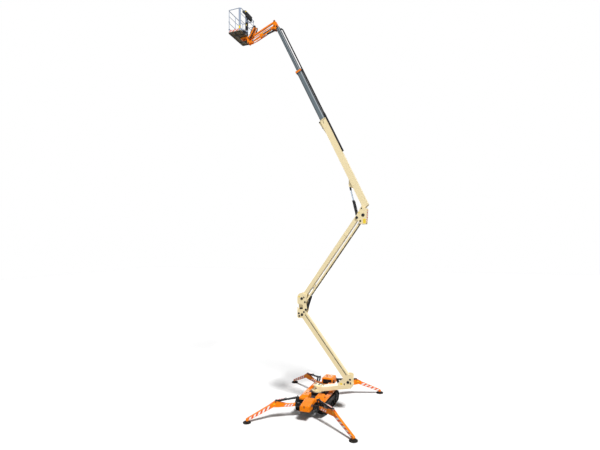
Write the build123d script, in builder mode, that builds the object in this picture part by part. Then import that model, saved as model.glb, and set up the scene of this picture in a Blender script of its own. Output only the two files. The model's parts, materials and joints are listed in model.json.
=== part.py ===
from build123d import *
import os
from math import atan2, cos, degrees, hypot, radians, sin

# A tracked articulating boom lift, standing on its four outriggers.
# Millimetres. The origin is on the ground under the slew axis. +Z is up, +Y runs along the
# chassis towards the engine, and the boom works in the XZ plane with the basket towards -X.

os.makedirs("parts", exist_ok=True)

GAP = 0.3            # running gap at pins, rods and slide pads
BODY_GAP = 8.0       # side gap between a swinging limb and the plates that carry it

# --- chassis ---
CHASSIS_MID = 120.0          # chassis centre lies this far behind the slew axis, along Y
FRAME_HALF_WIDTH = 230.0
FRAME_LENGTH = 2840.0
FRAME_BOTTOM = 380.0
FRAME_TOP = 590.0
DECK_THICK = 25.0
HOOD_INNER = 165.0           # inner side of each hood, from the centre line
HOOD_SHOULDER = 430.0        # outer edge of the hood's flat top
HOOD_OUTER = 610.0           # foot of the sloping outer side
HOOD_TOP = 790.0
SILL_TOP = 650
SILL_BOTTOM = 612.0
HOOD_REACH = 1030.0          # hood ends, from the chassis centre
HOOD_SADDLE = 420.0          # half-length of the low stretch beside the slew bearing
HOOD_ROUNDING = 32.0
HOOD_END_SLOPE = 130.0       # run of each hood's sloping end
BOX_HALF_WIDTH = 210.0
BOX_FRONT = -1680.0
BOX_BOTTOM = 450.0
BOX_ROUNDING = 38.0
ENGINE_FRONT = 1300.0
ENGINE_REAR = 1960.0
ENGINE_TOP = 880.0
ENGINE_HALF_WIDTH = 290.0
ENGINE_TAPER = 6.0           # degrees, the cover's sides lean in towards the top
ENGINE_ROUNDING = 55.0
COVER_WALL = 15.0

# --- tracks: wheel centres as Y, Z and radius over the rubber ---
TRACK_OUTER = 610.0
TRACK_WIDTH = 250.0
TRACK_BAND = 45.0
TRACK_LIFT = 30.0
SPROCKET = (-960.0, 400.0, 205.0)
FRONT_ROLLER = (-600.0, TRACK_LIFT + 110.0, 110.0)
IDLER = (1010.0, TRACK_LIFT + 215.0, 215.0)
ROLLER_COUNT = 6
ROLLER_RADIUS = 62.0
SIDE_BEAM_WIDTH = 90.0
WHEEL_HOLES = 6              # round openings in the sprocket and in the idler

# --- slew bearing and turret ---
BEARING_RADIUS = 330.0
BEARING_BOTTOM = 700.0
BEARING_HEIGHT = 45.0
TURRET_FLANGE_RADIUS = 270.0
TURRET_FLANGE_HEIGHT = 45.0
TURRET_RADIUS = 190.0
TURRET_HEIGHT = 245.0
TURRET_CAP_RADIUS = 155.0
TURRET_CAP_HEIGHT = 22.0
BEAM_CREASE = (290.0, 985.0)         # where the turret beam's level top turns upwards, as X, Z
TOWER_REAR = 184.0                   # tower's rear edge behind the first riser's foot, along X
TOWER_FRONT = 446.0                  # tower's front edge ahead of it

# --- riser pair: pivots in the boom plane as X, Z ---
RISER1_FOOT = (1406.0, 1300.0)
RISER1_LENGTH = 3450.0
RISER1_ANGLE = 127.0                 # degrees from +X, counter-clockwise as seen from -Y
RISER1_LINK_OFFSET = (95.0, 123.0)   # link pivot from beam pivot
RISER1_DEPTH = 185.0
RISER1_LINK_DEPTH = 60.0
MID_PIVOT_OFFSET = (-8.0, 714.0)     # second riser's foot from the first riser's head
RISER2_LENGTH = 4400.0
RISER2_ANGLE = 54.2
RISER2_LINK_OFFSET = (155.0, -150.0)
RISER2_DEPTH = 178.0
RISER2_LINK_DEPTH = 76.0
RISER_CYLINDER_OFFSET = (193.0, -484.0)  # riser cylinder's base pin from the second riser's foot
RISER_LUG = (797.0, -125.0)          # its rod pin, along and above the second riser
RISER_CYLINDER_PIN_RADIUS = 24.0
RISER_HALF_WIDTH = 110.0
LINK_HALF_WIDTH = 85.0
LINK_BAR = 23.0                      # thickness of each bar of the second link
LINK_SPACER_GAP = 800.0              # spacing of the spacers between the bars
RISER_WALL = 10.0
CHANNEL_LENGTH = 850.0               # open-topped head of the second riser
CHANNEL_HALF_WIDTH = 72.0
LUG_INNER = 40.0                     # inner side of the ears a rod eye lies between
LUG_PLATE = 16.0
CHEEK = 24.0                         # knuckle and tower plate thickness
PIN_RADIUS = 30.0
LINK_PIN_RADIUS = 18.0

# --- main boom ---
BOOM_PIVOT_OFFSET = (274.5, 100.0)   # boom pivot from the second riser's head
BOOM_ANGLE = 115.3
BOOM_AXIS_OFFSET = 261.0             # section centre line above the pivot
BASE_START = 310.0                   # lower end of the base section's top side
BASE_HEEL = (250.0, 235.0)           # its lower end's nearest corner, along and above the pivot line
BASE_TOE = 330.0                     # lower end of its underside
BASE_END = 4720.0
BASE_DEPTH = 276.0
BASE_HALF_WIDTH = 110.0
BASE_WALL = 9.0
SECTION_LENGTH = 4400.0
SECTION2_END = 7400.0
SECTION2_DEPTH = 250.0
SECTION2_HALF_WIDTH = 88.0
SECTION_WALL = 8.0
SECTION3_END = 9880.0
SECTION3_DEPTH = 172.0
SECTION3_HALF_WIDTH = 68.0
COLLAR_LENGTH = 110.0
COLLAR_RIM = 36.0
MOUTH_LENGTH = 60.0
SLIDE_PAD_LENGTH = 120.0
ROLLER_BRACKET = 740.0               # length of the tapered bracket under the base section's mouth
ROLLER_BRACKET_HALF_WIDTH = 70.0
BOOM_LUG = (1425.0, 20.0)            # boom cylinder's rod pin, along and above the pivot line
BOOM_PIN_RADIUS = 34.0
CARRIER_CLEARANCE = 6.0              # carrier above the base section's top side
CARRIER_HEIGHT = 50.0
CARRIER_WIDTH = 90.0
CARRIER_LENGTH = 4820.0
CARRIER_BEND = 100.0                 # run of its bent end
CARRIER_FOOT = 50.0                  # length of the foot that joins it to the third section
CARRIER_TOP_GAP = 120.0              # bent end below the third section's tip
TRAY_LENGTH = 1990.0                 # covered tray the carrier runs into
TRAY_WALL = 5.0
TRAY_OVERHANG = 245.0                # tray beyond the base section's mouth

# --- jib and platform ---
TIP_REACH = 50.0                     # levelling pivot beyond the end of the third section
TIP_LUG_RADIUS = 46.0
JIB_FOOT_OFFSET = (-130.0, 35.0)     # jib beam pivot from the levelling pivot
JIB_LINK_OFFSET = (0.0, 250.0)
JIB_LENGTH = 1490.0
JIB_ANGLE = 202.0
JIB_DEPTH = 200.0
JIB_HALF_WIDTH = 75.0
JIB_PLATE = 18.0
JIB_END_RADIUS = 50.0
JIB_SLOT_RADIUS = 48.0
JIB_CYLINDER_OFFSET = (20.0, -163.0)
JIB_LUG = (740.0, -58.0)
JIB_LINK_DEPTH = 70.0
JIB_LINK_HALF_WIDTH = 35.0
JIB_PIN_RADIUS = 20.0
HEAD_PLATE = 15.0
ROTATOR_OFFSET = (-172.0, 330.0)     # platform swivel from the jib's outer beam pivot
ROTATOR_RADIUS = 85.0
ROTATOR_HEIGHT = 250.0
BASKET_EDGE = 100.0                  # basket's jib-side edge from the swivel axis
BASKET_DEPTH = 700.0
BASKET_LENGTH = 1400.0
BASKET_HEIGHT = 1100.0
FLOOR_ABOVE_FOOT = 380.0             # floor top above the jib's outer beam pivot
FLOOR_THICK = 40.0
RAIL_RADIUS = 18.0
RAIL_CORNER = 70.0                   # corner radius of the rail loops
POST_RADIUS = 15.0
MID_RAIL_RADIUS = 12.0
RAIL_LEVELS = (480.0, 810.0)         # middle rails above the floor
FLAT_POST_WIDTH = 92.0
FLAT_POST_DEPTH = 36.0
TOE_BOARD = 110.0
TOE_THICK = 6.0
PILLAR_LENGTH = 110.0
PILLAR_WIDTH = 90.0
GATE_HINGE_Y = -620.0
GATE_LENGTH = 560.0
GATE_HEIGHT = 280.0
GATE_TAIL = 40.0
CONSOLE_LENGTH = 560.0
CONSOLE_DROP = 250.0

# --- outriggers, in each leg's own upright plane: distance out from the swivel axis, height ---
ROOT_X = 420.0
ROOT_Y = 1350.0
LEG_REACH = 2169.0
LEG_ANGLE = 34.4                     # plan angle from the X axis
LEG_HINGE = (140.0, 545.0)
KNEE = (1040.0, 600.0)
KNEE_RADIUS = 80.0
KNEE_HOLE_RADIUS = 20.0
LEG_EYE = (990.0, 745.0)
LEG_CYLINDER_BASE = (30.0, 840.0)
LEG_DEPTH = 110.0
LEG_HALF_WIDTH = 52.0
GUSSET_PLATE = 11.0
PAD_RADIUS = 165.0
PAD_THICK = 35.0
PAD_NECK_RADIUS = 48.0
FOOT_HEIGHT = 125.0                  # centre of the leg's rounded foot
FOOT_RADIUS = 48.0
YOKE_PLATE = 16.0
SWIVEL_PIN_RADIUS = 22.0
LEG_PIN_RADIUS = 18.0


def away(point, angle, reach):
    """The point a given distance from another along an angle in the boom plane."""
    return (point[0] + reach * cos(radians(angle)), point[1] + reach * sin(radians(angle)))


def shifted(point, offset):
    """A point moved by an offset."""
    return (point[0] + offset[0], point[1] + offset[1])


def limb_plane(foot, angle, top_side_right=True):
    """A plane in the boom plane with local x along a limb and local y towards its top side."""
    direction = (cos(radians(angle)), 0, sin(radians(angle)))
    normal = (0, 1, 0) if top_side_right else (0, -1, 0)
    return Plane(origin=(foot[0], 0, foot[1]), x_dir=direction, z_dir=normal)


def hull_plate(plane, circles, half_width, mode=Mode.ADD):
    """A plate, symmetric about the plane, whose outline wraps circles given as x, y, radius."""
    with BuildSketch(plane) as outline:
        for x, y, radius in circles:
            with Locations((x, y)):
                Circle(radius)
        if len(circles) > 1:
            make_hull()
    extrude(outline.sketch, amount=half_width, both=True, mode=mode)


def slab(plane, points, half_width, mode=Mode.ADD):
    """A plate, symmetric about the plane, cut to a polygon."""
    with BuildSketch(plane) as outline:
        with BuildLine():
            Polyline(*points, close=True)
        make_face()
    extrude(outline.sketch, amount=half_width, both=True, mode=mode)


def box_between(plane, x_from, x_to, y_from, y_to, half_width, mode=Mode.ADD):
    """A box between two stations along a limb's plane."""
    slab(plane, [(x_from, y_from), (x_to, y_from), (x_to, y_to), (x_from, y_to)], half_width, mode)


def plate_pair(plane, circles, inner, outer):
    """Two plates either side of a plane, each wrapping circles given as x, y, radius."""
    for side in (-1, 1):
        with BuildSketch(plane.offset(side * inner)) as outline:
            for x, y, radius in circles:
                with Locations((x, y)):
                    Circle(radius)
            make_hull()
        extrude(outline.sketch, amount=side * (outer - inner))


# Derived pivots in the boom plane.
riser1_head = away(RISER1_FOOT, RISER1_ANGLE, RISER1_LENGTH)
riser1_link_foot = shifted(RISER1_FOOT, RISER1_LINK_OFFSET)
riser1_link_head = shifted(riser1_head, RISER1_LINK_OFFSET)
riser2_foot = shifted(riser1_head, MID_PIVOT_OFFSET)
riser2_head = away(riser2_foot, RISER2_ANGLE, RISER2_LENGTH)
riser2_link_foot = shifted(riser2_foot, RISER2_LINK_OFFSET)
riser2_link_head = shifted(riser2_head, RISER2_LINK_OFFSET)
boom_pivot = shifted(riser2_head, BOOM_PIVOT_OFFSET)

riser1 = limb_plane(RISER1_FOOT, RISER1_ANGLE)
riser1_upper = limb_plane(riser1_link_foot, RISER1_ANGLE)
riser2 = limb_plane(riser2_foot, RISER2_ANGLE, top_side_right=False)
riser2_lower = limb_plane(riser2_link_foot, RISER2_ANGLE, top_side_right=False)
boom = limb_plane(boom_pivot, BOOM_ANGLE)


def on_limb(plane, x, y):
    """The boom-plane point at a limb's local coordinates."""
    point = plane.from_local_coords(Vector(x, y, 0))
    return (point.X, point.Z)


tip_pivot = on_limb(boom, SECTION3_END + TIP_REACH, BOOM_AXIS_OFFSET)
jib_foot = shifted(tip_pivot, JIB_FOOT_OFFSET)
jib_link_foot = shifted(jib_foot, JIB_LINK_OFFSET)
jib_head = away(jib_foot, JIB_ANGLE, JIB_LENGTH)
jib_link_head = shifted(jib_head, JIB_LINK_OFFSET)
jib = limb_plane(jib_foot, JIB_ANGLE)
jib_upper = limb_plane(jib_link_foot, JIB_ANGLE)
floor_top = jib_head[1] + FLOOR_ABOVE_FOOT
swivel_x = jib_head[0] + ROTATOR_OFFSET[0]
basket_right = swivel_x + BASKET_EDGE
basket_left = basket_right - BASKET_DEPTH

cheek_inner = RISER_HALF_WIDTH + BODY_GAP
cheek_outer = cheek_inner + CHEEK

# Hydraulic cylinders in the boom plane. The rod's eye lies between two ears of the other limb.
RISER_CYLINDER_BASE = shifted(riser2_foot, RISER_CYLINDER_OFFSET)
RISER_CYLINDER_EYE = on_limb(riser2, *RISER_LUG)
BOOM_CYLINDER_EYE = on_limb(boom, *BOOM_LUG)
JIB_CYLINDER_BASE = shifted(jib_foot, JIB_CYLINDER_OFFSET)
JIB_CYLINDER_EYE = on_limb(jib, *JIB_LUG)

def finish(builder, name):
    """Label a finished piece and write it out."""
    builder.part.label = name
    export_step(builder.part, f"parts/{name}.step")


# --- chassis frame: box beam, track cross-members and a swivel boss at each corner ---
frame_front = CHASSIS_MID - FRAME_LENGTH / 2
boss_bottom = LEG_HINGE[1] - 75
boss_top = LEG_HINGE[1] + 35
track_inner = TRACK_OUTER - TRACK_WIDTH
beam_inner = TRACK_OUTER - TRACK_WIDTH / 2 - SIDE_BEAM_WIDTH / 2
with BuildPart() as chassis_frame:
    with BuildSketch(Plane.XY.offset(FRAME_BOTTOM)):
        with Locations((0, CHASSIS_MID)):
            Rectangle(2 * FRAME_HALF_WIDTH, FRAME_LENGTH)
    extrude(amount=FRAME_TOP - FRAME_BOTTOM)
    with BuildSketch(Plane.XY.offset(SPROCKET[1] - 160)):
        with Locations((0, SPROCKET[0] + 420), (0, IDLER[0] - 420)):
            Rectangle(2 * beam_inner, 150)
    extrude(amount=150)
    with BuildSketch(Plane.XY.offset(boss_bottom)):
        for side in (-1, 1):
            with Locations((0, CHASSIS_MID + side * ROOT_Y)):
                Rectangle(2 * ROOT_X, 90)
        with GridLocations(2 * ROOT_X, 2 * ROOT_Y, 2, 2):
            with Locations((0, CHASSIS_MID)):
                Circle(48)
    extrude(amount=boss_top - boss_bottom)
    with BuildSketch(Plane.XY.offset(boss_bottom)):
        with Locations((0, CHASSIS_MID)):
            with GridLocations(2 * ROOT_X, 2 * ROOT_Y, 2, 2):
                Circle(SWIVEL_PIN_RADIUS + GAP)
    extrude(amount=boss_top - boss_bottom, mode=Mode.SUBTRACT)
    with BuildSketch(Plane.XY.offset(FRAME_TOP)):
        Circle(BEARING_RADIUS - 20)
    extrude(amount=BEARING_BOTTOM - FRAME_TOP)
finish(chassis_frame, "chassis_frame")

# --- tracks and their side beams with sprocket, idler and rollers ---
wheels = (SPROCKET, FRONT_ROLLER, IDLER)
for side, hand in ((-1, "left"), (1, "right")):
    centre_x = side * (TRACK_OUTER - TRACK_WIDTH / 2)
    track_plane = Plane.YZ.offset(centre_x)
    with BuildPart() as track:
        hull_plate(track_plane, wheels, TRACK_WIDTH / 2)
        bores = [(y, z, radius - TRACK_BAND) for y, z, radius in wheels]
        hull_plate(track_plane, bores, TRACK_WIDTH / 2, Mode.SUBTRACT)
    finish(track, f"track_{hand}")

    with BuildPart() as side_beam:
        beam_hull = [(y, z, radius - TRACK_BAND - 55) for y, z, radius in wheels]
        hull_plate(track_plane, beam_hull, SIDE_BEAM_WIDTH / 2)
        rim = TRACK_BAND + GAP
        for y, z, radius in (SPROCKET, IDLER):
            hull_plate(track_plane, [(y, z, radius - rim)], TRACK_WIDTH / 2 - 35)
            with BuildSketch(track_plane) as openings:
                with Locations((y, z)):
                    with PolarLocations(0.64 * (radius - rim), WHEEL_HOLES):
                        Circle(0.17 * (radius - rim))
            for face_side in (-1, 1):
                outer_face = openings.sketch.moved(Location((face_side * (TRACK_WIDTH / 2 - 35), 0, 0)))
                extrude(outer_face, amount=-face_side * 30, mode=Mode.SUBTRACT)
            hull_plate(track_plane, [(y, z, 62)], TRACK_WIDTH / 2 - 12)
        roller_z = TRACK_LIFT + rim + ROLLER_RADIUS
        roller_from = FRONT_ROLLER[0] + 60
        roller_step = (IDLER[0] - 190 - roller_from) / (ROLLER_COUNT - 1)
        for i in range(ROLLER_COUNT):
            roller = (roller_from + i * roller_step, roller_z)
            hull_plate(track_plane, [(*roller, ROLLER_RADIUS)], TRACK_WIDTH / 2 - 20)
    finish(side_beam, f"track_frame_{hand}")

# --- hoods: a raised cover either side of the bearing, joined by a low sill ---
hood_front = CHASSIS_MID - HOOD_REACH
hood_rear = CHASSIS_MID + HOOD_REACH
for side, hand in ((-1, "left"), (1, "right")):
    raised = [(HOOD_INNER, FRAME_TOP), (HOOD_INNER, HOOD_TOP), (HOOD_SHOULDER, HOOD_TOP)]
    raised += [(HOOD_OUTER, SILL_TOP), (HOOD_OUTER, SILL_BOTTOM), (track_inner - 20, SILL_BOTTOM)]
    raised += [(track_inner - 20, FRAME_TOP)]
    low = [(HOOD_SHOULDER, SILL_BOTTOM), (HOOD_SHOULDER, SILL_TOP), (HOOD_OUTER, SILL_TOP)]
    low += [(HOOD_OUTER, SILL_BOTTOM)]
    stretches = [(raised, hood_front, -HOOD_SADDLE), (low, -HOOD_SADDLE, HOOD_SADDLE)]
    stretches += [(raised, HOOD_SADDLE, hood_rear)]
    with BuildPart() as hood:
        for outline, y_from, y_to in stretches:
            with BuildSketch(Plane.XZ.offset(-y_from)):
                with BuildLine():
                    Polyline(*[(side * x, z) for x, z in outline], close=True)
                make_face()
            extrude(amount=-(y_to - y_from))
        top_edges = hood.edges().filter_by(Axis.Y).group_by(Axis.Z)[-1]
        fillet(top_edges, radius=HOOD_ROUNDING)
        for end_y, inward in ((hood_front, 1), (hood_rear, -1)):
            slope = [(end_y, SILL_TOP + 20), (end_y + inward * HOOD_END_SLOPE, HOOD_TOP + 5)]
            slab(Plane.YZ, slope + [(end_y - inward * 10, HOOD_TOP + 5)], HOOD_OUTER + 10, Mode.SUBTRACT)
    finish(hood, f"hood_{hand}")

# --- deck between the hoods, front box and engine cover ---
with BuildPart() as deck:
    with BuildSketch(Plane.XY.offset(FRAME_TOP)):
        with Locations((0, CHASSIS_MID)):
            Rectangle(2 * HOOD_INNER, 2 * HOOD_REACH)
        Rectangle(2 * HOOD_SHOULDER, 2 * HOOD_SADDLE)
    extrude(amount=DECK_THICK)
    with BuildSketch(Plane.XY.offset(FRAME_TOP)):
        Circle(BEARING_RADIUS - 20 + GAP)
    extrude(amount=DECK_THICK, mode=Mode.SUBTRACT)
finish(deck, "deck")

with BuildPart() as front_box:
    side_view = [(BOX_FRONT, BOX_BOTTOM), (frame_front, BOX_BOTTOM), (frame_front, FRAME_TOP)]
    side_view += [(hood_front - 60, FRAME_TOP), (hood_front - 60, HOOD_TOP - 10)]
    side_view += [(BOX_FRONT, HOOD_TOP - 120)]
    slab(Plane.YZ, side_view, BOX_HALF_WIDTH)
    fillet(front_box.faces().sort_by(Axis.Z)[-1].edges(), radius=BOX_ROUNDING)
finish(front_box, "front_box")

sill = FRAME_TOP + COVER_WALL
opening_top = ENGINE_TOP - 65
opening_half = ENGINE_HALF_WIDTH - 75
with BuildPart() as engine_cover:
    with BuildSketch(Plane.XY.offset(FRAME_TOP)):
        with Locations((0, (ENGINE_FRONT + ENGINE_REAR) / 2)):
            RectangleRounded(2 * ENGINE_HALF_WIDTH, ENGINE_REAR - ENGINE_FRONT, 60)
    extrude(amount=ENGINE_TOP - FRAME_TOP, taper=ENGINE_TAPER)
    fillet(engine_cover.faces().sort_by(Axis.Z)[-1].edges(), radius=ENGINE_ROUNDING)
    with BuildSketch(Plane.XZ.offset(-(ENGINE_REAR - 2 * ENGINE_ROUNDING))):
        with Locations((0, (sill + opening_top) / 2)):
            RectangleRounded(2 * opening_half, opening_top - sill, 40)
    extrude(amount=ENGINE_REAR - ENGINE_FRONT, mode=Mode.SUBTRACT)
finish(engine_cover, "engine_cover")

block_front = ENGINE_FRONT + 90
block_rear = ENGINE_REAR - 2 * ENGINE_ROUNDING
with BuildPart() as engine_block:
    with BuildSketch(Plane.XY.offset(sill)):
        with Locations((0, (block_front + block_rear) / 2)):
            Rectangle(2 * opening_half - 90, block_rear - block_front)
    extrude(amount=opening_top - 25 - sill)
finish(engine_block, "engine_block")

# --- slew bearing ---
with BuildPart() as slew_bearing:
    with BuildSketch(Plane.XY.offset(BEARING_BOTTOM)):
        Circle(BEARING_RADIUS)
    extrude(amount=BEARING_HEIGHT)
finish(slew_bearing, "slew_bearing")

# --- turret: stepped round base, rising beam and the tower cheeks that carry the first riser ---
turret_floor = BEARING_BOTTOM + BEARING_HEIGHT + GAP
foot_x, foot_z = RISER1_FOOT
tower_end = foot_x + TOWER_REAR
tower_start = foot_x - TOWER_FRONT
beam_top = [BEAM_CREASE, (tower_start + 30, foot_z - 180), (tower_end, foot_z - 98)]
with BuildPart() as turret:
    beam = [(-TURRET_RADIUS, turret_floor + 50), (250, turret_floor + 50), (tower_start - 300, foot_z - 420)]
    beam += [(tower_start, foot_z - 360), (tower_end - 60, foot_z - 250), (tower_end, foot_z - 175)]
    beam += beam_top[::-1] + [(-TURRET_RADIUS, BEAM_CREASE[1])]
    slab(Plane.XZ, beam, TURRET_RADIUS)
    with BuildSketch(Plane.XY.offset(turret_floor)) as plan:
        Circle(TURRET_RADIUS)
        with Locations((tower_start, 0), (tower_end - 5, 0)):
            Rectangle(10, 2 * cheek_outer)
        make_hull()
    extrude(plan.sketch, amount=1000, mode=Mode.INTERSECT)
    for radius, low_z, height in (
        (TURRET_FLANGE_RADIUS, turret_floor, TURRET_FLANGE_HEIGHT),
        (TURRET_RADIUS, turret_floor, TURRET_HEIGHT),
        (TURRET_CAP_RADIUS, turret_floor + TURRET_HEIGHT, TURRET_CAP_HEIGHT),
    ):
        with BuildSketch(Plane.XY.offset(low_z)) as ring:
            Circle(radius)
        extrude(ring.sketch, amount=height)
    tower = [(tower_start, foot_z - 300), (tower_start, foot_z - 85), (foot_x - 206, foot_z + 140)]
    tower += [(foot_x - 76, foot_z + 290), (foot_x - 6, foot_z + 338), (foot_x + 130, foot_z + 342)]
    tower += [(tower_end, foot_z + 300), (tower_end, foot_z - 175)]
    slab(Plane.XZ, tower, cheek_outer)
    gap = [(tower_start - 100, foot_z - 198), (tower_start + 30, foot_z - 178), (tower_end + 50, foot_z - 92)]
    gap += [(tower_end + 50, foot_z + 400), (tower_start - 100, foot_z + 400)]
    slab(Plane.XZ, gap, cheek_inner, Mode.SUBTRACT)
    hull_plate(Plane.XZ, [(*RISER1_FOOT, PIN_RADIUS)], cheek_outer)
    hull_plate(Plane.XZ, [(*riser1_link_foot, LINK_PIN_RADIUS)], cheek_outer)
finish(turret, "turret")

# --- first riser: box beam below, link above ---
bore = PIN_RADIUS + GAP
link_bore = LINK_PIN_RADIUS + GAP
with BuildPart() as riser1_beam:
    end_radius = RISER1_DEPTH / 2
    hull_plate(riser1, [(0, 0, end_radius), (RISER1_LENGTH, 0, end_radius)], RISER_HALF_WIDTH)
    inside = end_radius - RISER_WALL
    box_between(riser1, 250, RISER1_LENGTH - 250, -inside, inside, RISER_HALF_WIDTH - RISER_WALL,
                Mode.SUBTRACT)
    for x in (0, RISER1_LENGTH):
        hull_plate(riser1, [(x, 0, bore)], RISER_HALF_WIDTH, Mode.SUBTRACT)
    box_between(riser1, RISER1_LENGTH / 2, RISER1_LENGTH / 2 + 200, -end_radius - 5, -inside + 5, 25,
                Mode.SUBTRACT)
finish(riser1_beam, "riser1_beam")

with BuildPart() as riser1_link:
    half = RISER1_LINK_DEPTH / 2
    hull_plate(riser1_upper, [(0, 0, half), (RISER1_LENGTH, 0, half)], LINK_HALF_WIDTH)
    for x in (0, RISER1_LENGTH):
        hull_plate(riser1_upper, [(x, 0, link_bore)], LINK_HALF_WIDTH, Mode.SUBTRACT)
finish(riser1_link, "riser1_link")

# --- middle knuckle: two cheeks with a notch, and a recessed box between them ---
with BuildPart() as mid_knuckle:
    x, z = riser1_head
    foot = MID_PIVOT_OFFSET[1]
    upper = [(x - 25, z + foot + 56, 195), (x + 185, z + foot + 136, 60), (x - 150, z + foot - 194, 70)]
    upper += [(x + 60, z + foot - 194, 90), (x + 147, z + foot - 150, 45)]
    lower = [(x - 150, z - 85, 80), (x + 20, z - 65, 80), (x + 110, z + 60, 60), (x + 175, z + 310, 65)]
    lower += [(x - 150, z + 340, 70), (*RISER_CYLINDER_BASE, 55)]
    throat = [(x + 60, z + foot - 194, 90), (x + 147, z + foot - 150, 45), (x + 175, z + 310, 65)]
    throat += [(x + 80, z + 300, 60)]
    for circles in (upper, lower, throat):
        hull_plate(Plane.XZ, circles, cheek_outer)
    notch = [(x - 260, z + 475), (x + 50, z + 445), (x + 40, z + 245), (x - 140, z + 225)]
    notch += [(x - 260, z + 405)]
    slab(Plane.XZ, notch, cheek_outer, Mode.SUBTRACT)
    for hole_x, hole_z in ((x - 150, z + 55), (x - 130, z - 65)):
        hull_plate(Plane.XZ, [(hole_x, hole_z, 32)], cheek_outer, Mode.SUBTRACT)
    slab(Plane.XZ, [(x - 600, z - 400), (x + 600, z - 400), (x + 600, z + 1200), (x - 600, z + 1200)],
         cheek_inner, Mode.SUBTRACT)
    box_between(Plane.XZ, x - 190, x + 70, z + 190, z + 500, 45)
    for low_z in (z + 190, z + 485):
        box_between(Plane.XZ, x - 190, x + 70, low_z, low_z + 15, cheek_inner)
    for point, radius in ((riser1_head, PIN_RADIUS), (riser1_link_head, LINK_PIN_RADIUS),
                          (riser2_foot, PIN_RADIUS), (riser2_link_foot, LINK_PIN_RADIUS),
                          (RISER_CYLINDER_BASE, RISER_CYLINDER_PIN_RADIUS)):
        hull_plate(Plane.XZ, [(*point, radius)], cheek_outer)
finish(mid_knuckle, "mid_knuckle")

# --- second riser: box beam with an open-topped head, and a twin-bar link below it ---
channel_from = RISER2_LENGTH - CHANNEL_LENGTH
with BuildPart() as riser2_beam:
    end_radius = RISER2_DEPTH / 2
    hull_plate(riser2, [(0, 0, end_radius), (RISER2_LENGTH, 0, end_radius)], RISER_HALF_WIDTH)
    inside = end_radius - RISER_WALL
    lug_x, lug_y = RISER_LUG
    box_between(riser2, lug_x + 170, channel_from - 60, -inside, inside, RISER_HALF_WIDTH - RISER_WALL,
                Mode.SUBTRACT)
    box_between(riser2, lug_x - 110, lug_x + 110, -end_radius - 5, 0, LUG_INNER, Mode.SUBTRACT)
    box_between(riser2, channel_from, RISER2_LENGTH + 200, -inside, 200, CHANNEL_HALF_WIDTH, Mode.SUBTRACT)
    box_between(riser2, RISER2_LENGTH - 60, RISER2_LENGTH + 200, -200, 200, CHANNEL_HALF_WIDTH, Mode.SUBTRACT)
    for x in (0, RISER2_LENGTH):
        hull_plate(riser2, [(x, 0, bore)], RISER_HALF_WIDTH, Mode.SUBTRACT)
    box_between(riser2, RISER2_LENGTH / 2, RISER2_LENGTH / 2 + 200, -end_radius - 5, -inside + 5, 25,
                Mode.SUBTRACT)
    ear = [(lug_x, lug_y, 36), (lug_x - 90, -inside, 10), (lug_x + 90, -inside, 10)]
    plate_pair(riser2, ear, LUG_INNER, LUG_INNER + LUG_PLATE)
finish(riser2_beam, "riser2_beam")

with BuildPart() as riser2_link:
    half = RISER2_LINK_DEPTH / 2
    hull_plate(riser2_lower, [(0, 0, half), (RISER2_LENGTH, 0, half)], LINK_HALF_WIDTH)
    box_between(riser2_lower, -100, RISER2_LENGTH + 100, -100, 100, LINK_HALF_WIDTH - LINK_BAR,
                Mode.SUBTRACT)
    for i in (1, 2, 3):
        hull_plate(riser2_lower, [(RISER2_LENGTH - i * LINK_SPACER_GAP, 0, half - 12)], LINK_HALF_WIDTH)
    for x in (0, RISER2_LENGTH):
        hull_plate(riser2_lower, [(x, 0, link_bore)], LINK_HALF_WIDTH, Mode.SUBTRACT)
finish(riser2_link, "riser2_link")

# --- upper knuckle ---
with BuildPart() as upper_knuckle:
    x, z = riser2_head
    outline = [(x, z, 62), (x + 210, z + 405, 50), (x + 410, z + 345, 45), (x + 365, z - 245, 45)]
    hull_plate(Plane.XZ, outline + [(x + 200, z - 250, 45)], cheek_outer)
    slab(Plane.XZ, [(x - 600, z - 600), (x + 600, z - 600), (x + 600, z + 900), (x - 600, z + 900)],
         cheek_inner, Mode.SUBTRACT)
    slab(Plane.XZ, [(x + 432, z + 335), (x + 447, z + 335), (x + 402, z - 240), (x + 387, z - 240)],
         cheek_inner)
    for point, radius in ((riser2_head, PIN_RADIUS), (riser2_link_head, LINK_PIN_RADIUS),
                          (boom_pivot, BOOM_PIN_RADIUS)):
        hull_plate(Plane.XZ, [(*point, radius)], cheek_outer)
finish(upper_knuckle, "upper_knuckle")

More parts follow.
